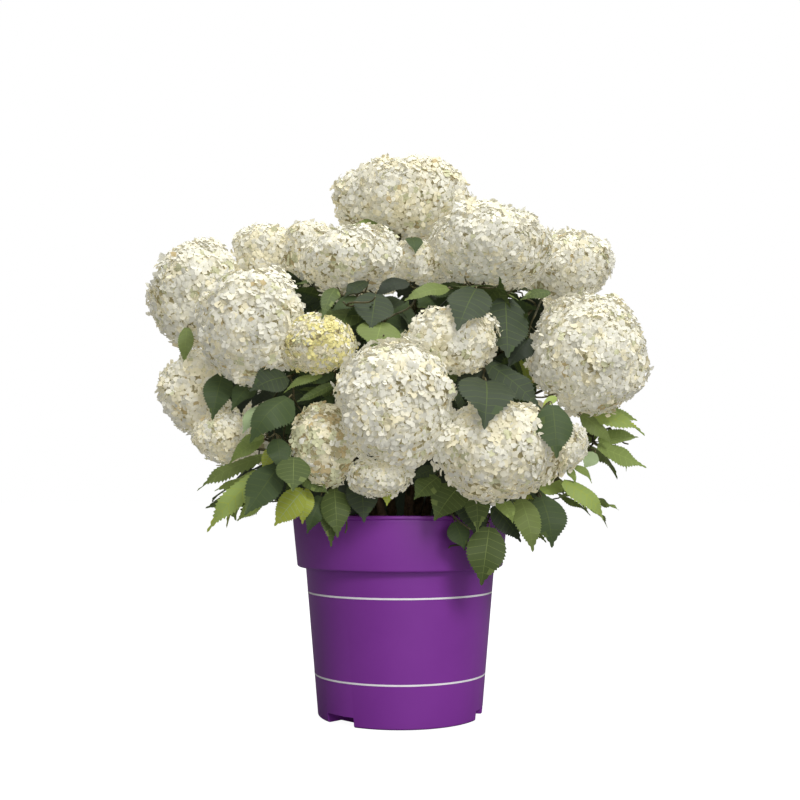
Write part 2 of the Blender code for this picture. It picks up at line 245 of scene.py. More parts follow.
band_foot = RIM_RADIUS - LIP_PROUD
lip_foot = POT_HEIGHT - LIP_HEIGHT
inside_band = band_foot - WALL
pot_section = [              # radius, height and round of each corner
    (0, FLOOR, 0),
    (BENCH_RADIUS - FLOOR, FLOOR, 0.002),
    (BENCH_RADIUS, BENCH_HEIGHT, 0.002),
    (wall_radius(BENCH_HEIGHT) - WALL, BENCH_HEIGHT, 0.004),
    (BODY_RADIUS - WALL, SKIRT_HEIGHT, 0.003),
    (SKIRT_RADIUS - WALL, SKIRT_HEIGHT + WALL, 0.003),
    (inside_band, POT_HEIGHT, 0.0012),
    (RIM_RADIUS, POT_HEIGHT, 0.0016),
    (RIM_RADIUS, lip_foot, 0.0012),
    (band_foot - GROOVE, lip_foot - GROOVE, 0.0004),
    (band_foot, lip_foot - 3 * GROOVE, 0.0008),
    (SKIRT_RADIUS, SKIRT_HEIGHT, 0.0032),
    (BODY_RADIUS, SKIRT_HEIGHT + 0.0012, 0.0006),
    (FOOT_RADIUS, 0, 0.0030),
    (0, 0, 0),
]
pot = piece(
    "pot_moulding",
    mesh_of("pot_moulding", turned(pot_section)),
    [mottled("purple_plastic", PLASTIC_DARK, PLASTIC_LIGHT, 9.0, 900.0, 0.00002, 0.45, 0.46)],
    ["pot"],
)
notches, drains = [], []
for index in range(NOTCH_COUNT):
    away = outward(NOTCH_BEARING + index * 360 / NOTCH_COUNT)
    turn = away.to_track_quat("X", "Z").to_matrix().to_4x4()
    notch, drain = bmesh.new(), bmesh.new()
    bmesh.ops.create_cube(notch, size=1.0)
    bmesh.ops.scale(notch, vec=NOTCH_SIZE, verts=notch.verts)
    notch_middle = (NOTCH_INNER + NOTCH_SIZE[0] / 2, 0, NOTCH_HEIGHT - NOTCH_SIZE[2] / 2)
    notch.transform(turn @ Matrix.Translation(notch_middle))
    bmesh.ops.create_cone(
        drain, cap_ends=True, segments=DRAIN_SIDES, depth=BENCH_HEIGHT,
        radius1=DRAIN_RADIUS, radius2=DRAIN_RADIUS,
    )
    drain.transform(turn @ Matrix.Translation((NOTCH_INNER + 2 * DRAIN_RADIUS, 0, BENCH_HEIGHT)))
    notches.append(notch)
    drains.append(drain)
for cutting in (cutter(notches), cutter(drains)):
    cut = pot.modifiers.new("cut", "BOOLEAN")
    cut.operation = "DIFFERENCE"
    cut.object = cutting
cut_mesh = bpy.data.meshes.new_from_object(pot.evaluated_get(bpy.context.evaluated_depsgraph_get()))
for cut in list(pot.modifiers):
    bpy.data.objects.remove(cut.object)
pot.modifiers.clear()
pot.data = cut_mesh
cut_mesh.set_sharp_from_angle(angle=SHARP_ANGLE)

# -------------------------------------------------------------------------- printed bands
# Two thin bands of white ink run round the pot's wall, printed on a film that is moulded
# into the plastic. Each is a thin ring that stands a hair proud of the wall.

BAND_HEIGHTS = {"printed_band_upper": 0.1554, "printed_band_lower": 0.0531}
BAND_WIDTH = 0.0022
BAND_PROUD = 0.00012
BAND_SUNK = 0.0006
INK_DARK = (0.95, 0.92, 0.95)
INK_LIGHT = (0.98, 0.96, 0.98)

ink = mottled("white_ink", INK_DARK, INK_LIGHT, 30.0, 1200.0, 0.00001, 0.45)
for name, height in BAND_HEIGHTS.items():
    ring = bmesh.new()
    low, high = height - BAND_WIDTH / 2, height + BAND_WIDTH / 2
    section = [
        ring.verts.new((wall_radius(level) + proud, 0, level))
        for level, proud in ((low, -BAND_SUNK), (low, BAND_PROUD), (high, BAND_PROUD), (high, -BAND_SUNK))
    ]
    edges = [ring.edges.new((section[i - 1], section[i])) for i in range(len(section))]
    spin_round(ring, section, edges)
    bmesh.ops.recalc_face_normals(ring, faces=ring.faces)
    band = piece(name, mesh_of(name, ring), [ink])
    band.data.set_sharp_from_angle(angle=SHARP_ANGLE)

# ---------------------------------------------------------------------------- potting mix
# The pot is filled to just under its rim with a dark mix of peat and composted bark. The
# fill is a turned body with an uneven top, and loose bark chips and grit lie over it.

MIX_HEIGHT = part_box("potting_mix")[1].z
MIX_GAP = 0.0004
MIX_RINGS = 16
MIX_STEPS = 96
MIX_UNEVEN = 0.003
MIX_FINENESS = (60, 190)     # of the broad and the small lumps in its top
CHIP_COUNT = 1500
CHIP_SIZE = (0.0095, 0.0055, 0.0026)
CHIP_WARP = (-0.5, 0.3)      # how far a chip's corners stray, as shares of its size
CHIP_SCALES = (0.35, 1.25)
CHIP_TILT, CHIP_ROLL = 0.35, 0.2
CHIP_SINK = 0.003
CHIP_SPREAD = 0.126
SOIL_DARK = (0.010, 0.007, 0.005)
SOIL_LIGHT = (0.045, 0.030, 0.020)
CHIP_TINTS = {
    "chip_black": ((0.012, 0.009, 0.007), (0.035, 0.024, 0.017)),
    "chip_brown": ((0.040, 0.024, 0.015), (0.090, 0.055, 0.034)),
    "chip_tan": ((0.120, 0.080, 0.050), (0.190, 0.135, 0.085)),
}
CHIP_SHARES = (0.62, 0.30, 0.08)

chance = np.random.default_rng(21)


def new_heap():
    """An empty heap of small like shapes, to be joined into one mesh."""
    return {"points": [], "faces": [], "tints": [], "size": 0}


def heap_up(heap, copies, faces, tints):
    """Adds copies of one shape: each copy's corners, the shape's faces, each face's material."""
    count, corners = copies.shape[:2]
    for start in range(heap["size"], heap["size"] + count * corners, corners):
        heap["faces"] += [[start + corner for corner in face] for face in faces]
    heap["points"].append(copies.reshape(-1, 3))
    heap["tints"].append(np.asarray(tints).ravel())
    heap["size"] += count * corners


def heap_mesh(name, heap):
    """The heap as one smooth mesh."""
    mesh = bpy.data.meshes.new(name)
    mesh.from_pydata(np.concatenate(heap["points"]).tolist(), [], heap["faces"])
    mesh.polygons.foreach_set("material_index", np.concatenate(heap["tints"]).astype(np.int32))
    mesh.shade_smooth()
    return mesh


def corners_and_faces(shape):
    """The corners of a small bmesh as rows, and its faces as lists of their numbers."""
    corners = np.array([vert.co for vert in shape.verts])
    faces = [[vert.index for vert in face.verts] for face in shape.faces]
    shape.free()
    return corners, faces


def along_rows(rows):
    """Rows of vectors, each made one long."""
    return rows / np.maximum(np.linalg.norm(rows, axis=-1, keepdims=True), 1e-9)


mix_top = [
    (radius, MIX_HEIGHT, 0)
    for radius in np.linspace(0, inside_band - 0.0012 - MIX_GAP, MIX_RINGS)
]
mix_side = [
    (SKIRT_RADIUS - WALL - MIX_GAP, SKIRT_HEIGHT + WALL, 0),
    (BODY_RADIUS - WALL - MIX_GAP, SKIRT_HEIGHT, 0),
    (wall_radius(BENCH_HEIGHT) - WALL - MIX_GAP, BENCH_HEIGHT + MIX_GAP, 0),
    (BENCH_RADIUS, BENCH_HEIGHT + MIX_GAP, 0),
    (BENCH_RADIUS - FLOOR, FLOOR + MIX_GAP, 0),
    (0, FLOOR + MIX_GAP, 0),
]
mix = turned(mix_top + mix_side, MIX_STEPS)
for vert in mix.verts:
    if vert.co.z > MIX_HEIGHT - MIX_GAP:
        vert.co.z -= sum(MIX_UNEVEN * abs(noise.noise(vert.co * fineness)) for fineness in MIX_FINENESS)
piece(
    "potting_mix_fill",
    mesh_of("potting_mix_fill", mix),
    [mottled("peat", SOIL_DARK, SOIL_LIGHT, 160.0, 600.0, 0.0012, 0.95, 0.2)],
    ["potting_mix"],
)

lump = bmesh.new()
bmesh.ops.create_cube(lump, size=1.0)
chip_corners, chip_faces = corners_and_faces(lump)
radii = CHIP_SPREAD * np.sqrt(chance.random(CHIP_COUNT))
turns = chance.uniform(0, math.tau, CHIP_COUNT)
chips = chip_corners * (1 + chance.uniform(*CHIP_WARP, (CHIP_COUNT, len(chip_corners), 1)))
chips = chips * np.array(CHIP_SIZE) * chance.uniform(*CHIP_SCALES, (CHIP_COUNT, 1, 3))
side = along_rows(chance.normal(size=(CHIP_COUNT, 3)) * (1, 1, CHIP_TILT))
up = along_rows(np.cross(side, along_rows(chance.normal(size=(CHIP_COUNT, 3)) * (1, 1, CHIP_ROLL))))
lay = np.stack([side, np.cross(up, side), up], axis=1)
chips = np.einsum("nij,njk->nik", chips, lay)
chip_heights = MIX_HEIGHT - chance.uniform(0, CHIP_SINK, CHIP_COUNT)
chips += np.stack([radii * np.cos(turns), radii * np.sin(turns), chip_heights], axis=1)[:, None]
chip_kinds = chance.choice(len(CHIP_TINTS), CHIP_COUNT, p=CHIP_SHARES)
chip_heap = new_heap()
heap_up(chip_heap, chips, chip_faces, np.repeat(chip_kinds, len(chip_faces)))
bark_chips = heap_mesh("bark_chips", chip_heap)
bark_chips.shade_flat()
piece(
    "bark_chips",
    bark_chips,
    [mottled(name, *tints, 220.0, 900.0, 0.0004, 0.9, 0.2) for name, tints in CHIP_TINTS.items()],
)

# ---------------------------------------------------------------------------------- canes
# Six woody canes rise from the crown of the roots and lean apart: tan papery bark over
# brown wood, swollen at each joint. Each is a tapered tube with the bark's ridges and
# flakes raised on it, and it starts where the part's own short stem stands.

CANE_COUNT = 6
CANE_FOOT_RADIUS = 0.0062
CANE_TIP_RADIUS = 0.0034
CANE_TOP = 0.425             # how high a cane reaches, give or take
CANE_REACH = 0.088           # and how far from the axis
CANE_SINK = 0.004            # its foot stands this deep in the mix
CANE_STEPS = 64
CANE_BARE_STEPS = 12         # nothing springs from its foot
CANE_PULL = 0.42             # how stiffly it bends, as a share of its length
CANE_JOINT = 0.046           # distance between joints
JOINT_FIRST = 0.02
JOINT_STAGGER = 0.01         # from cane to cane
JOINT_HALF = 0.0035
JOINT_SWELL = 0.28
BARK_RIDGE = 0.00055
RIDGES_ROUND, RIDGES_ALONG = 520, 45   # fineness of the bark's ridges
FLAKE_FINENESS = 130
CANE_DARK = (0.055, 0.032, 0.020)
CANE_LIGHT = (0.230, 0.150, 0.092)
UP = Vector((0, 0, 1))


def node_corners(node):
    """The corners of a CAD node's mesh, as rows."""
    mesh = frame["nodes"][node].data
    corners = np.empty(len(mesh.vertices) * 3)
    mesh.vertices.foreach_get("co", corners)
    return corners.reshape(-1, 3)


def strands_mesh(name, strands, rounds=0):
    """One mesh of round strands, each a list of points and a list of their radii."""
    line = bpy.data.curves.new(name, "CURVE")
    line.dimensions = "3D"
    line.bevel_depth = 1.0
    line.bevel_resolution = rounds
    line.use_fill_caps = True
    for points, radii in strands:
        spline = line.splines.new("POLY")
        spline.points.add(len(points) - 1)
        rows = np.column_stack([np.array(points), np.ones(len(points))])
        spline.points.foreach_set("co", rows.ravel())
        spline.points.foreach_set("radius", np.asarray(radii, float))
    holder = placed(name, line)
    tubes = bpy.data.meshes.new_from_object(holder.evaluated_get(bpy.context.evaluated_depsgraph_get()))
    bpy.data.objects.remove(holder)
    shape = bmesh.new()
    shape.from_mesh(tubes)
    bpy.data.meshes.remove(tubes)
    bmesh.ops.remove_doubles(shape, verts=shape.verts, dist=TOUCH)
    return mesh_of(name, shape)


wood = {"at": [], "along": []}       # points that a twig may spring from, and the growth there


def note_wood(points):
    """Keeps a limb's points, so that later twigs can spring from them."""
    for here, following in zip(points, points[1:]):
        wood["at"].append(here)
        wood["along"].append((following - here).normalized())


canes, cane_strands = [], []
for number in range(1, CANE_COUNT + 1):
    corners = node_corners(f"stem_{number}")
    low, high = corners[:, 2].min(), corners[:, 2].max()
    foot = Vector(corners[corners[:, 2] < low + 0.001].mean(axis=0))
    top = Vector(corners[corners[:, 2] > high - 0.001].mean(axis=0))
    lean = (top - foot).normalized()
    foot -= lean * CANE_SINK
    level = Vector((lean.x, lean.y, 0)).normalized()
    end = level * CANE_REACH * chance.uniform(0.85, 1.2) + UP * CANE_TOP * chance.uniform(0.94, 1.06)
    pull = (end - foot).length * CANE_PULL
    arrive = (UP + level * 0.4).normalized()
    cane = interpolate_bezier(foot, foot + lean * pull, end - arrive * pull, end, CANE_STEPS)
    canes.append(cane)
    note_wood(cane[CANE_BARE_STEPS:])
    gone = np.cumsum([0] + [(b - a).length for a, b in zip(cane, cane[1:])])
    radii = np.interp(gone, (0, gone[-1]), (CANE_FOOT_RADIUS, CANE_TIP_RADIUS))
    from_joint = np.mod(gone + JOINT_STAGGER * number, CANE_JOINT) - JOINT_FIRST
    radii *= 1 + JOINT_SWELL * np.exp(-(from_joint / JOINT_HALF) ** 2)
    cane_strands.append((cane, radii))
cane_mesh = strands_mesh("canes", cane_strands, 4)
for vert in cane_mesh.vertices:
    place = vert.co.copy()
    ridges = noise.noise(Vector((place.x * RIDGES_ROUND, place.y * RIDGES_ROUND, place.z * RIDGES_ALONG)))
    flakes = max(0.0, noise.noise(place * FLAKE_FINENESS)) ** 0.5
    vert.co += vert.normal * BARK_RIDGE * (ridges + flakes)
piece(
    "canes",
    cane_mesh,
    [mottled("cane_bark", CANE_DARK, CANE_LIGHT, 85.0, 700.0, 0.0005, 0.85, 0.25)],
    [f"stem_{number}" for number in range(1, CANE_COUNT + 1)],
)

# ------------------------------------------------------------------------- flowering shoots
# Each flower head stands on a green shoot of this year, which leaves the nearest cane at
# its own height and bends out to the head. A shoot is tan and woody at its foot, and bears
# pairs of leaves, each pair turned a quarter round from the last.

SHOOT_FOOT_RADIUS = 0.0027
SHOOT_TIP_RADIUS = 0.0017
SHOOT_STEPS = 16
HEADS = sorted(name for name in frame["nodes"] if name.startswith("flower_head"))
LEAF_MASSES = sorted(name for name in frame["nodes"] if name.startswith("leaves"))
GROWTH_CENTRE = Vector((0, 0, 0.285))        # heads lean out from here
HEAD_STALK_ENTRY = 0.55      # how far from a head's centre its stalk ends, in half its size
HIGH_HEAD = 0.52             # heads above this stand on shoots from the tops of the canes
FORK_UNDER_TOP = 0.03
FORK_HEIGHT = 0.262          # where a shoot leaves its cane, for a head at FORK_HEAD
FORK_HEAD = 0.30
FORK_RISE = 0.55             # and how much higher for a higher head
SHOOT_PULL = 0.40

hull, box_of = {}, {}
for name in HEADS + LEAF_MASSES:
    box_of[name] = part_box(name)
    mesh = frame["nodes"][name].data
    hull[name] = BVHTree.FromPolygons(
        [vert.co for vert in mesh.vertices], [face.vertices for face in mesh.polygons]
    )


def depth_in(name, point):
    """How deep a point lies in that mass. Outside it, less than zero."""
    place, normal, _, away = hull[name].find_nearest(point)
    return away if (place - point).dot(normal) > 0 else -away


def masses_near(point, names, margin):
    """Those masses whose box comes within the margin of the point."""
    found = []
    for name in names:
        low, high = box_of[name]
        if all(low[i] - margin < point[i] < high[i] + margin for i in range(3)):
            found.append(name)
    return found


def covered(point, names, depth):
    """Whether the point lies at least that deep in one of the masses."""
    return any(depth_in(name, point) > depth for name in masses_near(point, names, max(0.0, -depth)))


head_shape, shoots = {}, []
for name in HEADS:
    low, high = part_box(name)
    centre, half = (low + high) / 2, (high - low) / 2
    lean = centre - GROWTH_CENTRE
    lean.z = max(lean.z, 0.02) + 0.03
    lean.normalize()
    entry = centre - lean * min(half) * HEAD_STALK_ENTRY
    rise = FORK_HEIGHT + (centre.z - FORK_HEAD) * FORK_RISE
    if centre.z > HIGH_HEAD:
        rise = CANE_TOP - FORK_UNDER_TOP
    spots = [min(cane, key=lambda point: abs(point.z - rise)) for cane in canes]
    number = min(range(CANE_COUNT), key=lambda i: (spots[i] - entry).length)
    spot = spots[number]
    step = canes[number].index(spot)
    grown = (canes[number][min(step + 1, CANE_STEPS - 1)] - canes[number][step - 1]).normalized()
    pull = (entry - spot).length * SHOOT_PULL
    shoot = interpolate_bezier(spot, spot + grown * pull, entry - lean * pull, entry, SHOOT_STEPS)
    shoots.append(shoot)
    head_shape[name] = (centre, half, lean, entry)
    note_wood(shoot)

# ---------------------------------------------------------------------------- leafy twigs
# Side twigs fill the crown between the flowering shoots. They grow by one rule: a spot
# inside a mass of leaves draws a twig from the nearest wood, the nearest spots first, so
# that later twigs fork from earlier ones. Thin green wood carries a pair of leaves.

TWIG_FOOT_RADIUS = 0.0015
TWIG_TIP_RADIUS = 0.0010
TWIG_STEPS = 8
TWIG_SPACING = {"leaves_heart": 0.050, "leaves_upper": 0.042, "leaves_lower": 0.040, "leaves_spray": 0.030,
                "leaves_over": 0.034}
TWIG_PULL = 0.38
TWIG_STRAY = 0.12
TWIG_DEEPEST = 0.070
TWIG_SHALLOWEST = 0.004
SPOT_TRIES = 900
BACKWARD_COST = 2.5          # twigs rather spring from wood that is further in than they reach
HEAD_CLEAR = 0.16            # twigs and leaves leave the flower heads this far inside them uncovered
FOOT_TRIES = 36              # feet tried for a twig, nearest first, until it runs in front of no head
SHOWING_BEHIND = Vector((0, 0.024, 0.004))   # from a showing leaf's foot to the twig that bears it
SHOOT_DARK = (0.040, 0.040, 0.018)
SHOOT_LIGHT = (0.120, 0.105, 0.050)

# Leaves that show in the gaps between the heads: tint, foot, tip and width, in millimetres.
SHOWING_LEAVES = {
    "left_side": (
        ("deep", (-127, -185, 389), (-167, -212, 336), 43),
        ("dusk", (-132, -160, 416), (-173, -178, 397), 39),
        ("deep", (-215, -112, 424), (-223, -132, 367), 34),
        ("deep", (-176, -125, 412), (-199, -142, 377), 25),
        ("silver", (-164, -150, 381), (-182, -165, 349), 20),
        ("olive", (-264, -85, 485), (-264, -100, 438), 18),
        ("night", (-197, -100, 423), (-191, -115, 376), 36),
        ("night", (-158, -105, 413), (-178, -120, 382), 31),
        ("deep", (-216, -105, 413), (-223, -118, 380), 29),
        ("dusk", (-166, -118, 426), (-176, -130, 394), 29),
        ("olive", (-92, -150, 419), (-135, -165, 396), 11),
        ("mid", (-78, -146, 409), (-120, -162, 386), 13),
        ("deep", (-79, -135, 424), (-117, -150, 406), 21),
    ),
    "left_spray": (
        ("olive", (-161, -130, 324), (-243, -115, 283), 20),
        ("fresh", (-160, -145, 343), (-201, -135, 315), 21),
        ("bright", (-164, -120, 308), (-225, -100, 283), 17),
        ("bright", (-161, -150, 305), (-226, -140, 235), 26),
        ("lime", (-169, -135, 294), (-197, -130, 264), 17),
        ("bright", (-158, -150, 273), (-190, -145, 248), 16),
        ("deep", (-139, -182, 311), (-174, -198, 256), 41),
        ("lime", (-144, -165, 335), (-158, -172, 306), 17),
        ("fresh", (-159, -150, 347), (-188, -150, 341), 13),
        ("mid", (-120, -192, 321), (-119, -212, 282), 38),
        ("deep", (-140, -185, 342), (-134, -196, 305), 27),
        ("night", (-165, -95, 304), (-140, -110, 266), 34),
        ("night", (-115, -110, 295), (-97, -125, 263), 24),
    ),
    "rim_left": (
        ("lime", (-111, -172, 284), (-144, -168, 243), 32),
        ("lime", (-110, -162, 286), (-112, -166, 245), 23),
        ("mid", (-76, -160, 286), (-71, -176, 230), 33),
        ("mid", (-85, -152, 276), (-79, -166, 219), 22),
        ("deep", (-92, -156, 277), (-107, -164, 234), 22),
        ("mid", (-113, -170, 298), (-81, -180, 280), 22),
        ("dusk", (-46, -158, 300), (-41, -170, 247), 37),
        ("night", (-58, -150, 310), (-55, -158, 258), 30),
        ("lime", (-14, -166, 296), (-15, -176, 266), 21),
        ("night", (30, -100, 321), (30, -110, 274), 43),
        ("night", (55, -115, 318), (53, -125, 283), 26),
        ("dusk", (44, -150, 310), (12, -165, 297), 17),
    ),
    "upper_gap": (
        ("dusk", (-29, -140, 517), (-34, -172, 470), 47),
        ("olive", (-21, -155, 481), (-30, -190, 441), 52),
        ("mid", (-76, -150, 522), (-89, -197, 477), 19),
        ("deep", (-52, -130, 515), (-81, -145, 496), 18),
        ("dusk", (-40, -120, 536), (-67, -138, 513), 20),
        ("olive", (58, -125, 527), (5, -150, 507), 22),
        ("night", (10, -110, 537), (-31, -130, 514), 24),
        ("night", (12, -30, 557), (13, -45, 519), 33),
    ),
    "right_gap": (
        ("dusk", (90, -150, 522), (64, -211, 462), 50),
        ("dusk", (127, -125, 515), (125, -168, 437), 56),
        ("dusk", (104, -148, 432), (164, -172, 375), 34),
        ("dusk", (98, -187, 408), (90, -262, 348), 63),
        ("mid", (183, -110, 525), (145, -120, 513), 16),
        ("night", (158, -100, 470), (130, -120, 431), 32),
        ("night", (98, -130, 427), (63, -148, 394), 28),
        ("deep", (169, -220, 378), (170, -242, 318), 40),
        ("bright", (181, -165, 392), (162, -175, 376), 10),
        ("night", (103, -60, 440), (112, -75, 403), 30),
    ),
    "rim_right": (
        ("mid", (104, -146, 241), (94, -150, 174), 44),
        ("deep", (167, -132, 276), (177, -144, 217), 46),
        ("olive", (141, -146, 274), (153, -158, 213), 32),
        ("olive", (138, -120, 251), (173, -126, 222), 18),
        ("fresh", (114, -150, 276), (130, -160, 246), 21),
        ("dusk", (109, -135, 265), (142, -135, 223), 28),
        ("mid", (68, -160, 288), (39, -170, 249), 41),
        ("mid", (87, -152, 289), (89, -162, 236), 30),
        ("deep", (64, -146, 247), (75, -150, 214), 29),
        ("mid", (44, -162, 299), (16, -172, 273), 30),
        ("dusk", (131, -150, 291), (116, -158, 268), 17),
    ),
    "right_spray": (
        ("fresh", (233, -60, 383), (304, -30, 373), 24),
        ("bright", (228, -70, 375), (309, -50, 352), 20),
        ("fresh", (250, -50, 345), (302, -45, 351), 25),
        ("fresh", (245, -70, 339), (308, -60, 312), 27),
        ("olive", (224, -80, 377), (261, -80, 341), 25),
        ("silver", (240, -80, 330), (225, -88, 310), 20),
        ("fresh", (210, -90, 314), (234, -90, 292), 12),
        ("fresh", (203, -98, 312), (213, -98, 293), 11),
        ("bright", (197, -100, 294), (248, -85, 247), 28),
    ),
    "top_gap": (
        ("olive", (-8, -30, 616), (-64, -50, 622), 31),
        ("deep", (15, -77, 600), (19, -103, 574), 22),
    ),
}

spots = []
for name in LEAF_MASSES:
    low, high = (np.array(corner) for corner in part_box(name))
    spacing = next(value for key, value in TWIG_SPACING.items() if name.startswith(key))
    own = []
    for place in chance.uniform(low, high, (SPOT_TRIES, 3)):
        point = Vector(place)
        if any((point - other).length < spacing for other in own):
            continue
        if TWIG_SHALLOWEST < depth_in(name, point) < TWIG_DEEPEST:
            own.append(point)
    spots += [(point, name) for point in own]
for rows in SHOWING_LEAVES.values():
    spots += [(Vector(foot) / 1000 + SHOWING_BEHIND, "showing") for _, foot, _, _ in rows]
spots.sort(key=lambda spot: (spot[0] - GROWTH_CENTRE).length)

corners, polygons = [], []
for name in HEADS:
    mesh = frame["nodes"][name].data
    polygons += [[len(corners) + vertex for vertex in face.vertices] for face in mesh.polygons]
    corners += [vert.co for vert in mesh.vertices]
all_heads = BVHTree.FromPolygons(corners, polygons)


def away_from_wood(point):
    """How far the point is from each point that a twig may spring from."""
    return np.linalg.norm(np.array(wood["at"]) - np.array(point), axis=1)


def hides_a_head(point):
    """Whether a flower head lies close behind the point, seen from outside the crown."""
    level = Vector((-point.x, -point.y, 0)).normalized()
    ways = [(level, HEAD_CLEAR), ((GROWTH_CENTRE - point).normalized(), HEAD_CLEAR / 2)]
    if point.y < -0.02:
        ways.append((Vector((0, 1, 0)), HEAD_CLEAR))
    return any(all_heads.ray_cast(point, way, far)[0] for way, far in ways)


def twig_to(point, number, stray):
    """A twig from that point of the wood to a spot it bears a leaf at."""
    foot, grown = wood["at"][number], wood["along"][number]
    straight = point - foot
    lean = (straight.normalized() + grown * 0.7 + UP * 0.15).normalized()
    arrive = straight.normalized() * 0.5 + (point - GROWTH_CENTRE).normalized() * 0.9
    arrive = (arrive + stray).normalized()
    pull = straight.length * TWIG_PULL
    return interpolate_bezier(foot, foot + lean * pull, point - arrive * pull, point, TWIG_STEPS)


twigs = []
for point, name in spots:
    away = away_from_wood(point)
    outer = np.maximum(0, away_from_wood(GROWTH_CENTRE) - (point - GROWTH_CENTRE).length)
    stray = Vector(chance.normal(size=3)) * TWIG_STRAY
    best = None
    for number in (away + BACKWARD_COST * outer).argsort(kind="stable")[:FOOT_TRIES]:
        twig = twig_to(point, number, stray)
        hiding = sum(hides_a_head(here) and not covered(here, HEADS, 0.0) for here in twig[1:])
        if best is None or hiding < best[0]:
            best = (hiding, twig)
        if not hiding:
            break
    if best[0] and name != "showing":
        continue
    twigs.append((name, best[1]))
    note_wood(best[1][1:])

shoot_radii = np.linspace(SHOOT_FOOT_RADIUS, SHOOT_TIP_RADIUS, SHOOT_STEPS)
twig_radii = np.linspace(TWIG_FOOT_RADIUS, TWIG_TIP_RADIUS, TWIG_STEPS)
strands = [(shoot, shoot_radii) for shoot in shoots] + [(twig, twig_radii) for _, twig in twigs]
piece(
    "shoots_and_twigs",
    strands_mesh("shoots_and_twigs", strands, 1),
    [mottled("young_wood", SHOOT_DARK, SHOOT_LIGHT, 55.0, 500.0, 0.0003, 0.6, 0.35)],
)

# --------------------------------------------------------------------------- flower heads
# A flower head is a dome of barren flowers, each of four broad sepals round a tiny bud, on
# stalks that branch from the shoot's end. The flowers sit shoulder to shoulder over the
# head's own outline, on a second, duller layer and a packed core, which take painted shade
# tints where they face downward. The underside is open.

FLOWER_SPACING = 0.0071
INNER_SPACING = 0.0094
FLOWER_INSET = 0.0012        # how deep in the head's outline a flower sits
FLOWER_SCATTER = 0.0036
INNER_INSET = 0.0050
SEPAL_LENGTH = 0.0078
SEPAL_WIDTH = 0.0041         # half of it
SEPAL_OUTLINE = ((0.0, 0.16), (0.33, 0.84), (0.67, 1.0), (1.0, 0.50))
SEPAL_CRUMPLE = 0.00045
SEPAL_COUNTS = (3, 4, 4, 4, 4, 4, 4, 5)
SEPAL_LENGTHS = (0.80, 1.14)
SEPAL_WIDTHS = (0.82, 1.15)
SEPAL_TURN = 0.13            # how far a sepal strays from its place round the bud
SEPAL_TILT = (0.22, 0.22)    # middle and spread of this and the next three
SEPAL_CUP = (0.03, 0.22)
SEPAL_CURL = (-0.26, 0.16)
SEPAL_TWIST = (0, 0.10)
FLOWER_STRAY = 0.24          # how far a flower turns from the way its place faces
FLOWER_SIZES = (0.88, 1.10)
SPOT_MARGIN = 0.005          # a flower this far out of its place must be
MEET_DEPTH = 0.004           # no deeper than this in another head
TRIES_PER_SPOT = 6
ODD_SEPALS = 0.10            # share of sepals that have a tint of their own
STALKED = 4                  # one flower in so many has its own stalk drawn
YOUNG_SIZE = 0.66            # flowers of the young head, against the others
SMALL_SIZE = 0.55            # a head's flowers are this size and its own half size over the span,
SIZE_SPAN = 0.11             # but full size at most
CORE_INSET = 0.0072          # stalks and closed buds pack the head under this depth
CORE_LUMPS = 0.0022
CORE_FINENESS = 210
HEAD_LUMPS = 0.0100          # how far a head swells and sinks from its even outline
HEAD_FINENESS = 26
HEAD_SWELL = {               # heads whose flowers stand out from their outline, and by how much
    "flower_head_upper_left_a": 1.07, "flower_head_upper_left_b": 1.13, "flower_head_upper_right": 1.03,
    "flower_head_upper_middle": 1.05, "flower_head_young": 1.09, "flower_head_low_middle": 1.08,
    "flower_head_low_right": 1.05, "flower_head_right": 0.95, "flower_head_side_left": 1.06,
}
HEAD_DEEPENED = {            # heads whose lower half hangs lower than their outline, and by how much
    "flower_head_upper_left_a": 1.6, "flower_head_upper_left_b": 1.6, "flower_head_upper_middle": 1.2,
    "flower_head_far_left": 1.1,
}
HEAD_SHIFT = {               # heads whose flowers have sagged to one side of their outline
    "flower_head_upper_right": (-0.006, 0, -0.001), "flower_head_right": (-0.004, 0, 0),
    "flower_head_upper_far_right": (0.001, 0, -0.006), "flower_head_top": (0.003, 0, 0),
    "flower_head_upper_left_a": (0.003, 0, -0.002), "flower_head_side_left": (-0.001, 0, 0.004),
}
BUD_RADIUS = 0.0010
BUD_TINT = 4                 # greenish, from the petal tints below
LOWER_LEVEL = 0.30           # where the outline faces less upward than this, the inner layer and core take the painted shade shares
OPEN_BELOW = -0.88           # flowers further back than this from the head's lean are left out
HEAD_STALK_RADIUS = 0.0008
FLOWER_STALK_RADIUS = 0.0004
CLUSTER_COUNT = 26
FORK_AT = 0.58               # a cluster's stalk forks this far out
STALK_GREEN = (0.30, 0.34, 0.17)
TINT_FINENESS = 34
TINT_PATCHES, TINT_CHANCE = 0.55, 0.30   # how much of a tint is in patches, and how much at random
PETAL_ROUGHNESS = 0.72
PETAL_GLOSS = 0.20
PETAL_GLOW = 0.29            # stands for the light that a thin sepal lets through

PETAL_TINTS = {
    "petal_white": (0.615, 0.597, 0.507),
    "petal_pearl": (0.543, 0.530, 0.451),
    "petal_cream": (0.618, 0.573, 0.412),
    "petal_ivory": (0.618, 0.590, 0.474),
    "petal_green": (0.457, 0.455, 0.292),
    "petal_lime": (0.615, 0.561, 0.250),
    "petal_tan": (0.400, 0.322, 0.172),
    # the last tint is painted shade, for the inner layer and core, most where they face downward
    "petal_painted_shade": (0.281, 0.246, 0.136),
}
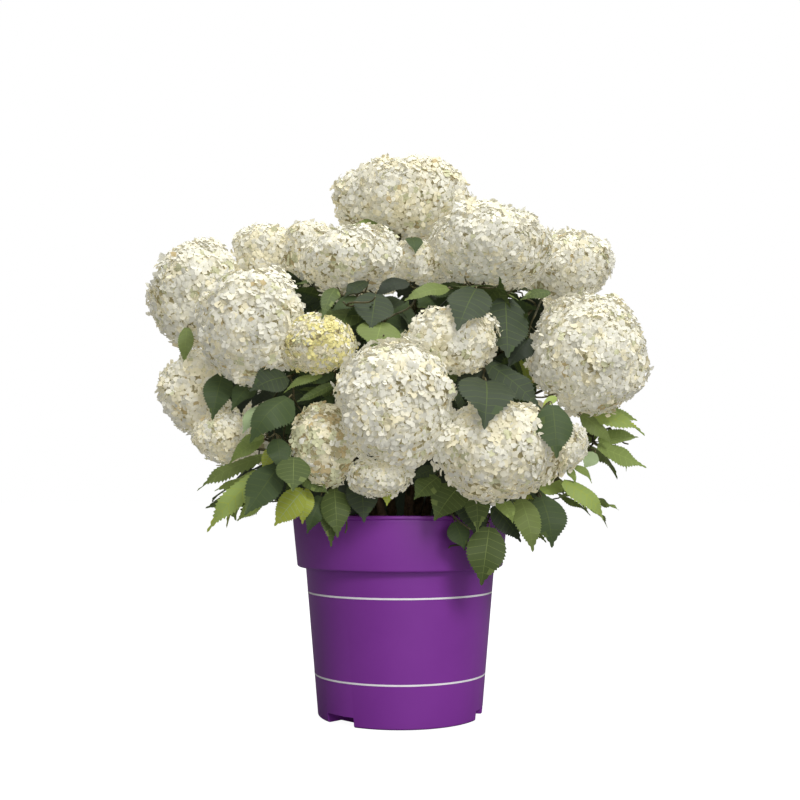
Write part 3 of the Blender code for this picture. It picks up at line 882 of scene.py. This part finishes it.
# Shares of those tints in a head of each kind, in the same order.
WHITE_SHARES = (0.36, 0.31, 0.09, 0.22, 0.02, 0.00, 0.00, 0.00)
CREAM_SHARES = (0.22, 0.12, 0.28, 0.35, 0.03, 0.00, 0.00, 0.00)
LIME_SHARES = (0.02, 0.00, 0.28, 0.10, 0.06, 0.54, 0.00, 0.00)
# the aged head: its own tan and olive, with painted shade in its darker shares and the shade tint
AGED_AND_SHADED_SHARES = (0.00, 0.02, 0.27, 0.05, 0.36, 0.00, 0.18, 0.12)
INNER_SHARES = (0.14, 0.22, 0.26, 0.26, 0.08, 0.00, 0.04, 0.00)
# painted shade: darker shares, with the shade tint, where the inner layer and core face downward
LOWER_PAINTED_SHADE_SHARES = (0.06, 0.10, 0.16, 0.12, 0.12, 0.00, 0.08, 0.36)
CORE_SHARES = (0.10, 0.20, 0.28, 0.20, 0.14, 0.00, 0.04, 0.04)
ODD_SHARES = (0.26, 0.24, 0.20, 0.16, 0.10, 0.00, 0.04, 0.00)
HEAD_SHARES = {"petals_white": WHITE_SHARES, "petals_cream": CREAM_SHARES, "petals_lime": LIME_SHARES}
AGED_AND_SHADED_HEADS = ("flower_head_low_left",)
STOREYS = (("upper", 0.52), ("middle", 0.41), ("low", 0.0))
SLOT_OF = {part["node"]: part["material_slot"] for part in frame["record"]["subparts"]}


def scattered(name, spacing):
    """Spots on a head's outline, no two nearer than the spacing."""
    mesh = frame["nodes"][name].data
    corners = node_corners(name)
    faces = np.array([face.vertices[:] for face in mesh.polygons])
    a, b, c = (corners[faces[:, i]] for i in range(3))
    area = np.linalg.norm(np.cross(b - a, c - a), axis=1) / 2
    tries = int(area.sum() / spacing ** 2 * TRIES_PER_SPOT)
    chosen = chance.choice(len(faces), tries, p=area / area.sum())
    first, second = np.sqrt(chance.random((tries, 1))), chance.random((tries, 1))
    places = a[chosen] * (1 - first) + b[chosen] * first * (1 - second) + c[chosen] * first * second
    kept = places[:1]
    for place in places[1:]:
        if np.min(np.sum((kept - place) ** 2, axis=1)) > spacing ** 2:
            kept = np.vstack([kept, place])
    return kept


def grown_out(name, places):
    """Places on a head's outline, moved to where its flowers really reach."""
    middle, halves = np.array(head_shape[name][0]), np.array(head_shape[name][1])
    away = (places - middle) * HEAD_SWELL.get(name, 1.0)
    away[:, 2] = np.where(away[:, 2] < 0, away[:, 2] * HEAD_DEEPENED.get(name, 1.0), away[:, 2])
    lumps = np.array([noise.noise(Vector(place) * HEAD_FINENESS) for place in places])
    swelling = (1 + lumps * HEAD_LUMPS / halves.min())[:, None]
    return middle + HEAD_SHIFT.get(name, (0, 0, 0)) + away * swelling


def tint_numbers(places, shares):
    """The tint of each place: chance and soft patches together, in the shares given."""
    patches = np.array([noise.noise(Vector(place) * TINT_FINENESS) for place in places]) * TINT_PATCHES
    rank = np.argsort(np.argsort(patches + chance.normal(0, TINT_CHANCE, len(places)))) / len(places)
    return np.searchsorted(np.cumsum(shares) / sum(shares), rank, side="right").clip(0, len(shares) - 1)


def laid_out(origins, steps, ways):
    """The corners of copies of a shape: each by its steps along its own three ways."""
    places = origins[:, None]
    for step, way in zip(steps, ways):
        places = places + step[..., None] * way[:, None]
    return places


def add_flowers(flowers, facing, tints, size, heap, template, buds):
    """Adds flowers to the heap: their sepals, and their buds if they have them."""
    sepal_corners, sepal_faces = template
    count = len(flowers)
    petals = chance.choice(SEPAL_COUNTS, count)
    owner = np.repeat(np.arange(count), petals)
    order = np.arange(len(owner)) - np.repeat(np.cumsum(petals) - petals, petals)
    spin = chance.uniform(0, math.tau, count)[owner] + order * math.tau / petals[owner]
    spin += chance.normal(0, SEPAL_TURN, len(owner))
    normal = facing[owner]
    across = along_rows(np.cross(normal, np.array((0.31, 0.17, 0.94))))
    other = np.cross(normal, across)
    radial = across * np.cos(spin)[:, None] + other * np.sin(spin)[:, None]
    tilt = chance.normal(*SEPAL_TILT, len(owner))
    along = radial * np.cos(tilt)[:, None] + normal * np.sin(tilt)[:, None]
    lift = normal * np.cos(tilt)[:, None] - radial * np.sin(tilt)[:, None]
    aside = np.cross(along, lift)
    length = SEPAL_LENGTH * size[owner] * chance.uniform(*SEPAL_LENGTHS, len(owner))
    width = SEPAL_WIDTH * size[owner] * chance.uniform(*SEPAL_WIDTHS, len(owner))
    cup = chance.normal(*SEPAL_CUP, len(owner))
    curl = chance.normal(*SEPAL_CURL, len(owner))
    twist = chance.normal(*SEPAL_TWIST, len(owner))
    u, v = sepal_corners[:, 0], sepal_corners[:, 1]
    outline = np.interp(v, *zip(*SEPAL_OUTLINE))
    forward = (v * (1.0 - 0.11 * u ** 2) + 0.05) * length[:, None]
    sideways = u * outline * width[:, None]
    height = cup[:, None] * u ** 2 * outline * width[:, None] + curl[:, None] * v ** 2 * length[:, None]
    height += twist[:, None] * u * v * width[:, None]
    places = laid_out(flowers[owner], (forward, sideways, height), (along, aside, lift))
    places += chance.normal(0, SEPAL_CRUMPLE, places.shape) * size[owner][:, None, None]
    odd = chance.choice(len(ODD_SHARES), len(owner), p=ODD_SHARES)
    own = np.where(chance.random(len(owner)) < ODD_SEPALS, odd, tints[owner])
    heap_up(heap, places, sepal_faces, np.repeat(own, len(sepal_faces)))
    if buds:
        spots = bud_corners * BUD_RADIUS + (flowers + facing * BUD_RADIUS)[:, None]
        heap_up(heap, spots, bud_faces, np.full(count * len(bud_faces), BUD_TINT))


def sepal_grid(rows):
    """The corners and faces of a sepal: across from -1 to 1, along from 0 to 1."""
    grid = bmesh.new()
    bmesh.ops.create_grid(grid, x_segments=2, y_segments=rows, size=1.0)
    corners, faces = corners_and_faces(grid)
    corners[:, 1] = (corners[:, 1] + 1) / 2
    return corners, faces


bud = bmesh.new()
bmesh.ops.create_uvsphere(bud, u_segments=4, v_segments=2, radius=1.0)
bud_corners, bud_faces = corners_and_faces(bud)


def plain(name, colour, roughness, specular=0.35, glow=0.0):
    """A material of one plain colour, which may glow a little as painted light, for pieces too crowded for
    a pattern.
    """
    made, shader = new_material(name, roughness, specular)
    tint = (*colour, 1)
    set_sockets(shader, {"Base Color": tint, "Emission Color": tint, "Emission Strength": glow})
    return made


petal_materials = [
    plain(name, colour, PETAL_ROUGHNESS, PETAL_GLOSS, PETAL_GLOW) for name, colour in PETAL_TINTS.items()
]
heaps, stalks = {}, []
for name in HEADS:
    centre, half, lean, entry = head_shape[name]
    slot = SLOT_OF[name]
    storey = next(label for label, floor in STOREYS if centre.z > floor)
    heap, members = heaps.setdefault((slot, storey), (new_heap(), []))
    members.append(name)
    middle, halves = np.array(centre), np.array(half)
    others = [other for other in HEADS if other != name]
    shares = AGED_AND_SHADED_SHARES if name in AGED_AND_SHADED_HEADS else HEAD_SHARES[slot]
    size = YOUNG_SIZE if slot == "petals_lime" else min(1.0, SMALL_SIZE + min(half) / SIZE_SPAN)
    core = bmesh.new()
    core.from_mesh(frame["nodes"][name].data)
    bmesh.ops.remove_doubles(core, verts=core.verts, dist=TOUCH)
    bmesh.ops.subdivide_edges(core, edges=core.edges, cuts=2, use_grid_fill=True)
    core_corners, core_faces = corners_and_faces(core)
    inward = along_rows((core_corners - middle) / halves ** 2)
    lumps = np.array([abs(noise.noise(Vector(corner) * CORE_FINENESS)) for corner in core_corners])
    core_corners = grown_out(name, core_corners)
    core_facing = np.array([inward[face, 2].mean() for face in core_faces])
    core_corners -= inward * (CORE_INSET * size + CORE_LUMPS * 2 * lumps)[:, None]
    core_centres = np.array([core_corners[face].mean(axis=0) for face in core_faces])
    core_tints = tint_numbers(core_centres, CORE_SHARES)
    # core faces that look downward take the painted shade shares
    painted_shade_tints = tint_numbers(core_centres, LOWER_PAINTED_SHADE_SHARES)
    core_tints = np.where(core_facing > LOWER_LEVEL, core_tints, painted_shade_tints)
    heap_up(heap, core_corners[None], core_faces, core_tints)
    for spacing, inset, layer_shares, rows in (
        (FLOWER_SPACING, FLOWER_INSET, shares, 2), (INNER_SPACING, INNER_INSET, INNER_SHARES, 1),
    ):
        places = scattered(name, spacing * size)
        normals = along_rows((places - middle) / halves ** 2)
        places = grown_out(name, places)
        open_side = along_rows(places - middle) @ np.array(lean) > OPEN_BELOW
        free = np.array([
            not covered(Vector(place + normal * SPOT_MARGIN), others, MEET_DEPTH)
            for place, normal in zip(places, normals)
        ])
        keep = open_side & free
        places, normals = places[keep], normals[keep]
        places = places - normals * (inset * size + chance.uniform(0, FLOWER_SCATTER, (len(places), 1)))
        facing = along_rows(normals + chance.normal(0, FLOWER_STRAY, normals.shape))
        tints = tint_numbers(places, layer_shares)
        # where the inner layer faces downward it takes the painted shade shares
        if layer_shares is INNER_SHARES:
            tints = np.where(normals[:, 2] > LOWER_LEVEL, tints, tint_numbers(places, LOWER_PAINTED_SHADE_SHARES))
        sizes = size * chance.uniform(*FLOWER_SIZES, len(places))
        add_flowers(places, facing, tints, sizes, heap, sepal_grid(rows), rows > 1)
        branches = along_rows(chance.normal(size=(CLUSTER_COUNT, 3)))
        cluster = np.argmax(along_rows(places - middle) @ branches.T, axis=1)
        hub = np.array(entry)
        for number in np.unique(cluster):
            own = places[cluster == number]
            fork = hub + (own.mean(axis=0) - hub) * FORK_AT
            stalks.append(([hub, fork], [HEAD_STALK_RADIUS, HEAD_STALK_RADIUS * 0.8]))
            stalks += [([fork, place], [FLOWER_STALK_RADIUS] * 2) for place in own[::STALKED]]
for (slot, storey), (heap, members) in heaps.items():
    title = f"{slot}_{storey}"
    piece(title, heap_mesh(title, heap), petal_materials, members)
piece(
    "flower_stalks",
    strands_mesh("flower_stalks", stalks),
    [plain("stalk_green", STALK_GREEN, 0.6)],
)

# --------------------------------------------------------------------------------- leaves
# The leaves are broad and pointed with toothed edges, dark above inside the crown, where the
# darkest tints are painted shade, and yellow-green where the light reaches them. Each is a grid
# drawn to its outline, with teeth on its margins and paler strips for midrib and side veins,
# and arches over its stalk.

VEINS = 7                    # side veins on each side of the midrib
VEIN_FIRST, VEIN_LAST = 0.07, 0.78   # where the first and last of them leave the midrib
VEIN_HALF = 0.0034           # half of a vein's width, in leaf lengths
LEAF_COLUMNS = (-1.0, -0.52, -0.024, 0.024, 0.52, 1.0)
LEAF_OUTLINE = (             # along the leaf, and its half width there
    (0.0, 0.34), (0.05, 0.62), (0.12, 0.85), (0.20, 0.97), (0.28, 1.0), (0.38, 0.97), (0.50, 0.85),
    (0.62, 0.66), (0.74, 0.42), (0.83, 0.23), (0.90, 0.115), (0.96, 0.05), (1.0, 0.012),
)
TOOTH_OUT = 0.026
TOOTH_FORWARD = 0.018
VEIN_SLANT = 0.17            # how far forward a vein runs on its way to the margin
LEAF_ROUGHNESS = 0.55
LEAF_GLOSS = 0.16
LEAF_GLOW = 0.22             # and for the light that comes through the leaves round about
STALK_RADIUS = 0.0009
STALK_STEPS = 6
STALK_LENGTHS = (0.016, 0.036)
STALK_TAN = (0.130, 0.110, 0.055)
SHOOT_LEAF_LENGTHS = (0.066, 0.092)
TWIG_LEAF_LENGTHS = (0.058, 0.092)
SPRAY_LEAF_LENGTHS = (0.050, 0.076)
LEAF_WIDTHS = (0.56, 0.70)   # in leaf lengths
FIT_TRIES = 5                # each a little shorter and more astray than the last
# Middle and spread of a leaf's arch, fold along the midrib, droop, wave and twist.
LEAF_BENDS = ((0.10, 0.05), (0.16, 0.12), (0.20, 0.10), (0.030, 0.015), (0.0, 0.20))
FLUSH_EDGE, FLUSH_TIP = 0.02, 0.10   # chance that a face there is a tint lighter

LEAF_TINTS = {
    # the first two tints are painted shade, darker than the leaves' own green, for leaves where shade
    # falls
    "leaf_night": (0.024, 0.031, 0.020),
    "leaf_dusk": (0.034, 0.046, 0.025),
    "leaf_deep": (0.043, 0.064, 0.025),
    "leaf_mid": (0.062, 0.086, 0.026),
    "leaf_olive": (0.125, 0.160, 0.048),
    "leaf_fresh": (0.165, 0.215, 0.060),
    "leaf_bright": (0.225, 0.290, 0.080),
    "leaf_lime": (0.270, 0.310, 0.050),
    "leaf_silver": (0.270, 0.340, 0.180),
}
LEAF_TONES = list(LEAF_TINTS)

SHOWING_FACE = Vector((0.12, -0.80, 0.59))   # which way those leaves look
SHOWING_STRAY = 0.07         # how far leaves turn from the way they should look
CROWN_STRAY = 0.16

# Tints of the other leaves by where they grow, as choices of equal chance. In the crown half of them, and
# low on the canes all, are painted shade tints.
CROWN_TONES = ("night", "dusk", "dusk", "deep", "deep", "mid")
SPRAY_TONES = ("deep", "mid", "olive", "olive", "fresh", "fresh", "bright", "lime")
RIM_TONES = ("deep", "mid", "mid", "olive")
LOW_TONES = ("night", "night", "dusk")
LOW_COUNT = 76               # short leaves low on the canes, over the mix, away from the front
LOW_BEARINGS = (62, 298)
LOW_HEIGHTS = (0.278, 0.300)
LOW_LENGTHS = (0.042, 0.050)
LOW_WIDTH = 0.95             # in leaf lengths
PAIR_STATIONS = (0.50, 0.74, 0.93)   # where along a flowering shoot its pairs stand


def blade_shape():
    """The corners of a leaf as across, along and tooth, its faces, and which are veins."""
    shape = bmesh.new()
    rows = 2 * VEINS + 1
    bmesh.ops.create_grid(shape, x_segments=len(LEAF_COLUMNS) - 1, y_segments=rows, size=1.0)
    level = shape.verts.layers.float.new("row")
    tooth = shape.verts.layers.float.new("tooth")
    for vert in shape.verts:
        vert[level] = (vert.co.y + 1) / 2 * rows
        vert.co.x = LEAF_COLUMNS[round((vert.co.x + 1) / 2 * (len(LEAF_COLUMNS) - 1))]
    shape.faces.ensure_lookup_table()
    bands = [
        (round(min(vert[level] for vert in face.verts)), face.calc_center_median().x)
        for face in shape.faces
    ]
    margins = [
        edge for edge in shape.edges
        if edge.is_boundary and all(abs(vert.co.x) == 1 for vert in edge.verts)
        and round(min(vert[level] for vert in edge.verts)) % 2 == 0
    ]
    old = set(shape.verts)
    bmesh.ops.subdivide_edges(shape, edges=margins, cuts=3, use_grid_fill=False)
    for vert in shape.verts:
        if vert not in old:
            vert[level] = (vert.co.y + 1) / 2 * rows
            vert[tooth] = 1.0 if round(vert[level] % 1 * 4) % 2 else 0.0
    vein_lines = np.linspace(VEIN_FIRST, VEIN_LAST, VEINS)
    strips = np.column_stack([vein_lines - VEIN_HALF, vein_lines + VEIN_HALF])
    lines = np.concatenate([[0], strips.ravel(), [1]])
    across = np.array([vert.co.x for vert in shape.verts])
    along = np.interp([vert[level] for vert in shape.verts], range(rows + 1), lines)
    teeth = np.array([vert[tooth] for vert in shape.verts])
    faces = [[vert.index for vert in face.verts] for face in shape.faces]
    veins = np.array([row % 2 == 1 or abs(middle) < 0.1 for row, middle in bands])
    tips = np.array([row >= rows - 5 for row, _ in bands])
    edges = np.array([abs(middle) > 0.6 for _, middle in bands])
    shape.free()
    return across, along, teeth, faces, veins, tips, edges


leaf_across, leaf_along, leaf_teeth, leaf_faces, leaf_veins, leaf_tips, leaf_edges = blade_shape()
leaf_rows, leaf_stalks = {}, []


def nearest_wood(point):
    """The point of the wood that is nearest to a point."""
    return wood["at"][int(away_from_wood(point).argmin())]


def add_leaf(group, foot, tip, face, width, tone, spring):
    """Notes a leaf by its foot, tip, facing, width and tint, and draws its stalk to the wood."""
    leaf_rows.setdefault(group, []).append((*foot, *tip, *face, width, LEAF_TONES.index("leaf_" + tone)))
    drawn = (tip - foot).normalized()
    reach = (foot - spring).length
    leaving = spring + (foot - spring) * 0.35 + UP * reach * 0.12
    bow = interpolate_bezier(spring, leaving, foot - drawn * reach * 0.3, foot, STALK_STEPS)
    leaf_stalks.append((bow, np.linspace(STALK_RADIUS * 1.25, STALK_RADIUS * 0.85, len(bow))))


def leaf_fits(foot, tip, face, width, loose):
    """Whether a leaf stays in the crown, off the pot, and out of and off the flower heads."""
    side = (tip - foot).cross(face).normalized() * width * 0.36
    middle = foot.lerp(tip, 0.45)
    inside = outside = hiding = 0
    for point in (foot.lerp(tip, 0.2), middle, middle + side, middle - side, tip):
        if point.z < POT_HEIGHT + 0.012 and math.hypot(point.x, point.y) < RIM_RADIUS + 0.010:
            return False
        inside += covered(point, HEADS, 0.006)
        outside += not covered(point, HEADS + LEAF_MASSES, -0.003)
        hiding += hides_a_head(point)
    return inside < 2 and outside < (2 if loose and foot.y > -0.06 else 1) and not hiding


for rows in SHOWING_LEAVES.values():
    for tone, foot, tip, width in rows:
        foot, tip = Vector(foot) / 1000, Vector(tip) / 1000
        spring = nearest_wood(foot + SHOWING_BEHIND)
        add_leaf("showing", foot, tip, SHOWING_FACE, width / 1000, tone, spring)
showing = [(Vector(row[:3]).lerp(Vector(row[3:6]), 0.5), row[9]) for row in leaf_rows["showing"]]


def hides_a_showing_leaf(foot, tip):
    """Whether a leaf would stand right in front of one of the showing leaves."""
    middle = foot.lerp(tip, 0.5)
    return any(
        middle.y < place.y + 0.02 and math.hypot(middle.x - place.x, middle.z - place.z) < width * 0.9
        for place, width in showing
    )


def grow_pair(group, spring, grown, quarter, tones, lengths, loose=False):
    """Grows a pair of leaves from opposite sides of a twig, where each of them fits."""
    side = grown.cross(UP if abs(grown.z) < 0.9 else Vector((1, 0, 0))).normalized()
    side = Matrix.Rotation(quarter, 3, grown) @ side
    for way in (side, -side):
        for attempt in range(FIT_TRIES):
            stalk = grown * 0.55 + way * 0.80 + UP * 0.10 + Vector(chance.normal(size=3)) * 0.16 * attempt
            stalk.normalize()
            foot = spring + stalk * chance.uniform(*STALK_LENGTHS)
            away = Vector((foot.x, foot.y, 0)).normalized()
            drawn = (stalk - UP * chance.uniform(0.15, 0.60) + away * 0.25).normalized()
            length = chance.uniform(*lengths) * (1 - 0.08 * attempt)
            tip = foot + drawn * length
            face = (UP * 0.75 + away * 0.6).normalized()
            width = length * chance.uniform(*LEAF_WIDTHS)
            if leaf_fits(foot, tip, face, width, loose) and not hides_a_showing_leaf(foot, tip):
                add_leaf(group, foot, tip, face, width, tones[chance.integers(len(tones))], spring)
                break


for shoot in shoots:
    for order, station in enumerate(PAIR_STATIONS):
        step = int(station * (SHOOT_STEPS - 1))
        grown = (shoot[min(step + 1, SHOOT_STEPS - 1)] - shoot[step - 1]).normalized()
        grow_pair("shoot", shoot[step], grown, order * math.pi / 2 + 0.4, CROWN_TONES, SHOOT_LEAF_LENGTHS)
for order, (name, twig) in enumerate(twigs):
    if name == "showing":
        continue
    tones = SPRAY_TONES if "spray" in name else RIM_TONES if "rim" in name else CROWN_TONES
    grown = (twig[-1] - twig[-2]).normalized()
    loose = "spray" in name or "rim" in name
    lengths = SPRAY_LEAF_LENGTHS if loose else TWIG_LEAF_LENGTHS
    grow_pair("twig", twig[-1], grown, order * 2.4, tones, lengths, loose)

for bearing in np.linspace(*LOW_BEARINGS, LOW_COUNT):
    away = outward(bearing + chance.uniform(-5, 5))
    foot = away * chance.uniform(0.074, 0.098) + UP * chance.uniform(*LOW_HEIGHTS)
    drawn = (away * 0.35 + outward(bearing + 90) * chance.uniform(-0.6, 0.6) - UP).normalized()
    tip = foot + drawn * chance.uniform(*LOW_LENGTHS)
    tone = LOW_TONES[chance.integers(len(LOW_TONES))]
    width = (tip - foot).length * LOW_WIDTH
    add_leaf("low", foot, tip, away + UP * 0.4, width, tone, nearest_wood(foot))


def leaves_mesh(name, rows, stray):
    """One mesh of leaves from their rows, each turned astray a little."""
    rows = np.array(rows)
    count = len(rows)
    foot, tip, face = rows[:, :3], rows[:, 3:6], rows[:, 6:9]
    width, tone = rows[:, 9], rows[:, 10].astype(int)
    length = np.linalg.norm(tip - foot, axis=1)
    ahead = (tip - foot) / length[:, None]
    face = along_rows(face + chance.normal(0, stray, face.shape))
    above = along_rows(face - ahead * np.sum(face * ahead, axis=1, keepdims=True))
    aside = np.cross(ahead, above)
    arch, fold, droop, wave, twist = (
        chance.normal(middle, spread, count)[:, None] for middle, spread in LEAF_BENDS
    )
    phase = chance.uniform(0, math.tau, (count, 1))
    size, half = length[:, None], width[:, None] / 2
    u, v = leaf_across, leaf_along
    outline = np.interp(v, *zip(*LEAF_OUTLINE))
    slant = VEIN_SLANT * np.abs(u) * np.sin(math.pi * v) ** 0.8
    forward = (v + slant * (1 - v)) * size + leaf_teeth * TOOTH_FORWARD * size
    sideways = u * outline * half + np.sign(u) * leaf_teeth * TOOTH_OUT * size * (0.4 + 0.6 * outline)
    height = arch * size * np.sin(math.pi * v) + fold * np.abs(sideways) - droop * sideways ** 2 / half
    height += wave * size * np.sin(phase + v * 9 + np.sign(u) * 1.3) * u ** 2 * np.sin(math.pi * v)
    height += twist * sideways * (v - 0.4)
    places = laid_out(foot, (forward, sideways, height), (ahead, aside, above))
    tints = np.repeat(tone[:, None], len(leaf_faces), axis=1)
    lighter = np.minimum(tone + 1, len(LEAF_TONES) - 2)[:, None]
    odds = FLUSH_EDGE * leaf_edges + FLUSH_TIP * leaf_tips * leaf_edges
    flushed = chance.random((count, len(leaf_faces))) < odds * chance.uniform(0.2, 1.8, (count, 1))
    tints = np.where(flushed & (tone[:, None] < len(LEAF_TONES) - 2), lighter, tints)
    vein = np.minimum(tone + np.where(tone == 1, 2, 1), len(LEAF_TONES) - 1)[:, None]
    tints = np.where(leaf_veins[None], vein, tints)
    heap = new_heap()
    heap_up(heap, places, leaf_faces, tints)
    return heap_mesh(name, heap)


leaf_materials = [
    plain(name, colour, LEAF_ROUGHNESS, LEAF_GLOSS, LEAF_GLOW) for name, colour in LEAF_TINTS.items()
]
crown_masses = [name for name in LEAF_MASSES if "spray" not in name and "rim" not in name]
outer_masses = [name for name in LEAF_MASSES if name not in crown_masses]
crown_rows = leaf_rows["shoot"] + leaf_rows["twig"] + leaf_rows["low"]
piece(
    "leaves_of_the_crown",
    leaves_mesh("leaves_of_the_crown", crown_rows, CROWN_STRAY),
    leaf_materials, crown_masses,
)
piece(
    "leaves_that_show",
    leaves_mesh("leaves_that_show", leaf_rows["showing"], SHOWING_STRAY),
    leaf_materials, outer_masses,
)
piece(
    "leaf_stalks",
    strands_mesh("leaf_stalks", leaf_stalks),
    [plain("stalk_tan", STALK_TAN, 0.55)],
)

# --------------------------------------------------------------------------------- studio
# A pale floor that runs off level, a soft lamp high on the right in front with a weaker one
# below it, a broad lamp overhead, another behind, and a pale sky all round. The camera
# stands low in front of the plant and looks slightly up.

FLOOR_SIZE = 60.0
FLOOR_COLOUR = (0.18, 0.18, 0.18)
CAMERA_PLACE = (0.0, -1.436, 0.2799)
CAMERA_PITCH = 4.87
CAMERA_LENS = 49.5
LAMP_AWAY = 3.0
LAMP_TARGET = Vector((0, 0, 0.35))
LAMPS = {                    # bearing, rise, size and power
    "soft_lamp": (24, 30, 1.0, 48.0),
    "low_lamp": (16, 3, 1.6, 19.0),
    "top_lamp": (12, 84, 4.5, 136.0),
    "rear_lamp": (178, 48, 1.6, 42.0),
}
SKY_LIGHT = 0.20
FLOOR_GLOW = 0.96            # seen by the camera alone, so that the floor reads as white paper

floor_shape = bmesh.new()
bmesh.ops.create_grid(floor_shape, x_segments=1, y_segments=1, size=FLOOR_SIZE / 2)
floor = placed("floor", mesh_of("floor", floor_shape))
floor_paint = plain("floor_paint", FLOOR_COLOUR, 0.9, 0.1)
nodes, link = floor_paint.node_tree.nodes, floor_paint.node_tree.links.new
seen, glow = nodes.new("ShaderNodeLightPath"), nodes.new("ShaderNodeMath")
glow.operation = "MULTIPLY"
glow.inputs[1].default_value = FLOOR_GLOW
nodes["Principled BSDF"].inputs["Emission Color"].default_value = (1, 1, 1, 1)
link(seen.outputs["Is Camera Ray"], glow.inputs[0])
link(glow.outputs["Value"], nodes["Principled BSDF"].inputs["Emission Strength"])
floor.data.materials.append(floor_paint)

for name, (bearing, rise, size, power) in LAMPS.items():
    lamp_data = bpy.data.lights.new(name, "AREA")
    lamp_data.shape = "DISK"
    lamp_data.size = size
    lamp_data.energy = power
    lamp = placed(name, lamp_data)
    away = outward(bearing) * math.cos(math.radians(rise)) + UP * math.sin(math.radians(rise))
    lamp.location = LAMP_TARGET + away * LAMP_AWAY
    lamp.rotation_euler = (-away).to_track_quat("-Z", "Y").to_euler()

sky = bpy.data.worlds.new("pale_sky")
sky.use_nodes = True
nodes, link = sky.node_tree.nodes, sky.node_tree.links.new
nodes["Background"].inputs["Strength"].default_value = SKY_LIGHT
backdrop = nodes.new("ShaderNodeBackground")
seen, choose = nodes.new("ShaderNodeLightPath"), nodes.new("ShaderNodeMixShader")
for background in (nodes["Background"], backdrop):
    background.inputs["Color"].default_value = (1, 1, 1, 1)
link(seen.outputs["Is Camera Ray"], choose.inputs["Fac"])
link(nodes["Background"].outputs["Background"], choose.inputs[1])
link(backdrop.outputs["Background"], choose.inputs[2])
link(choose.outputs["Shader"], nodes["World Output"].inputs["Surface"])
bpy.context.scene.world = sky
bpy.context.scene.view_settings.view_transform = "Standard"

camera_data = bpy.data.cameras.new("camera")
camera_data.lens = CAMERA_LENS
camera = placed("camera", camera_data)
camera.location = CAMERA_PLACE
camera.rotation_euler = (math.radians(90 + CAMERA_PITCH), 0, 0)
bpy.context.scene.camera = camera
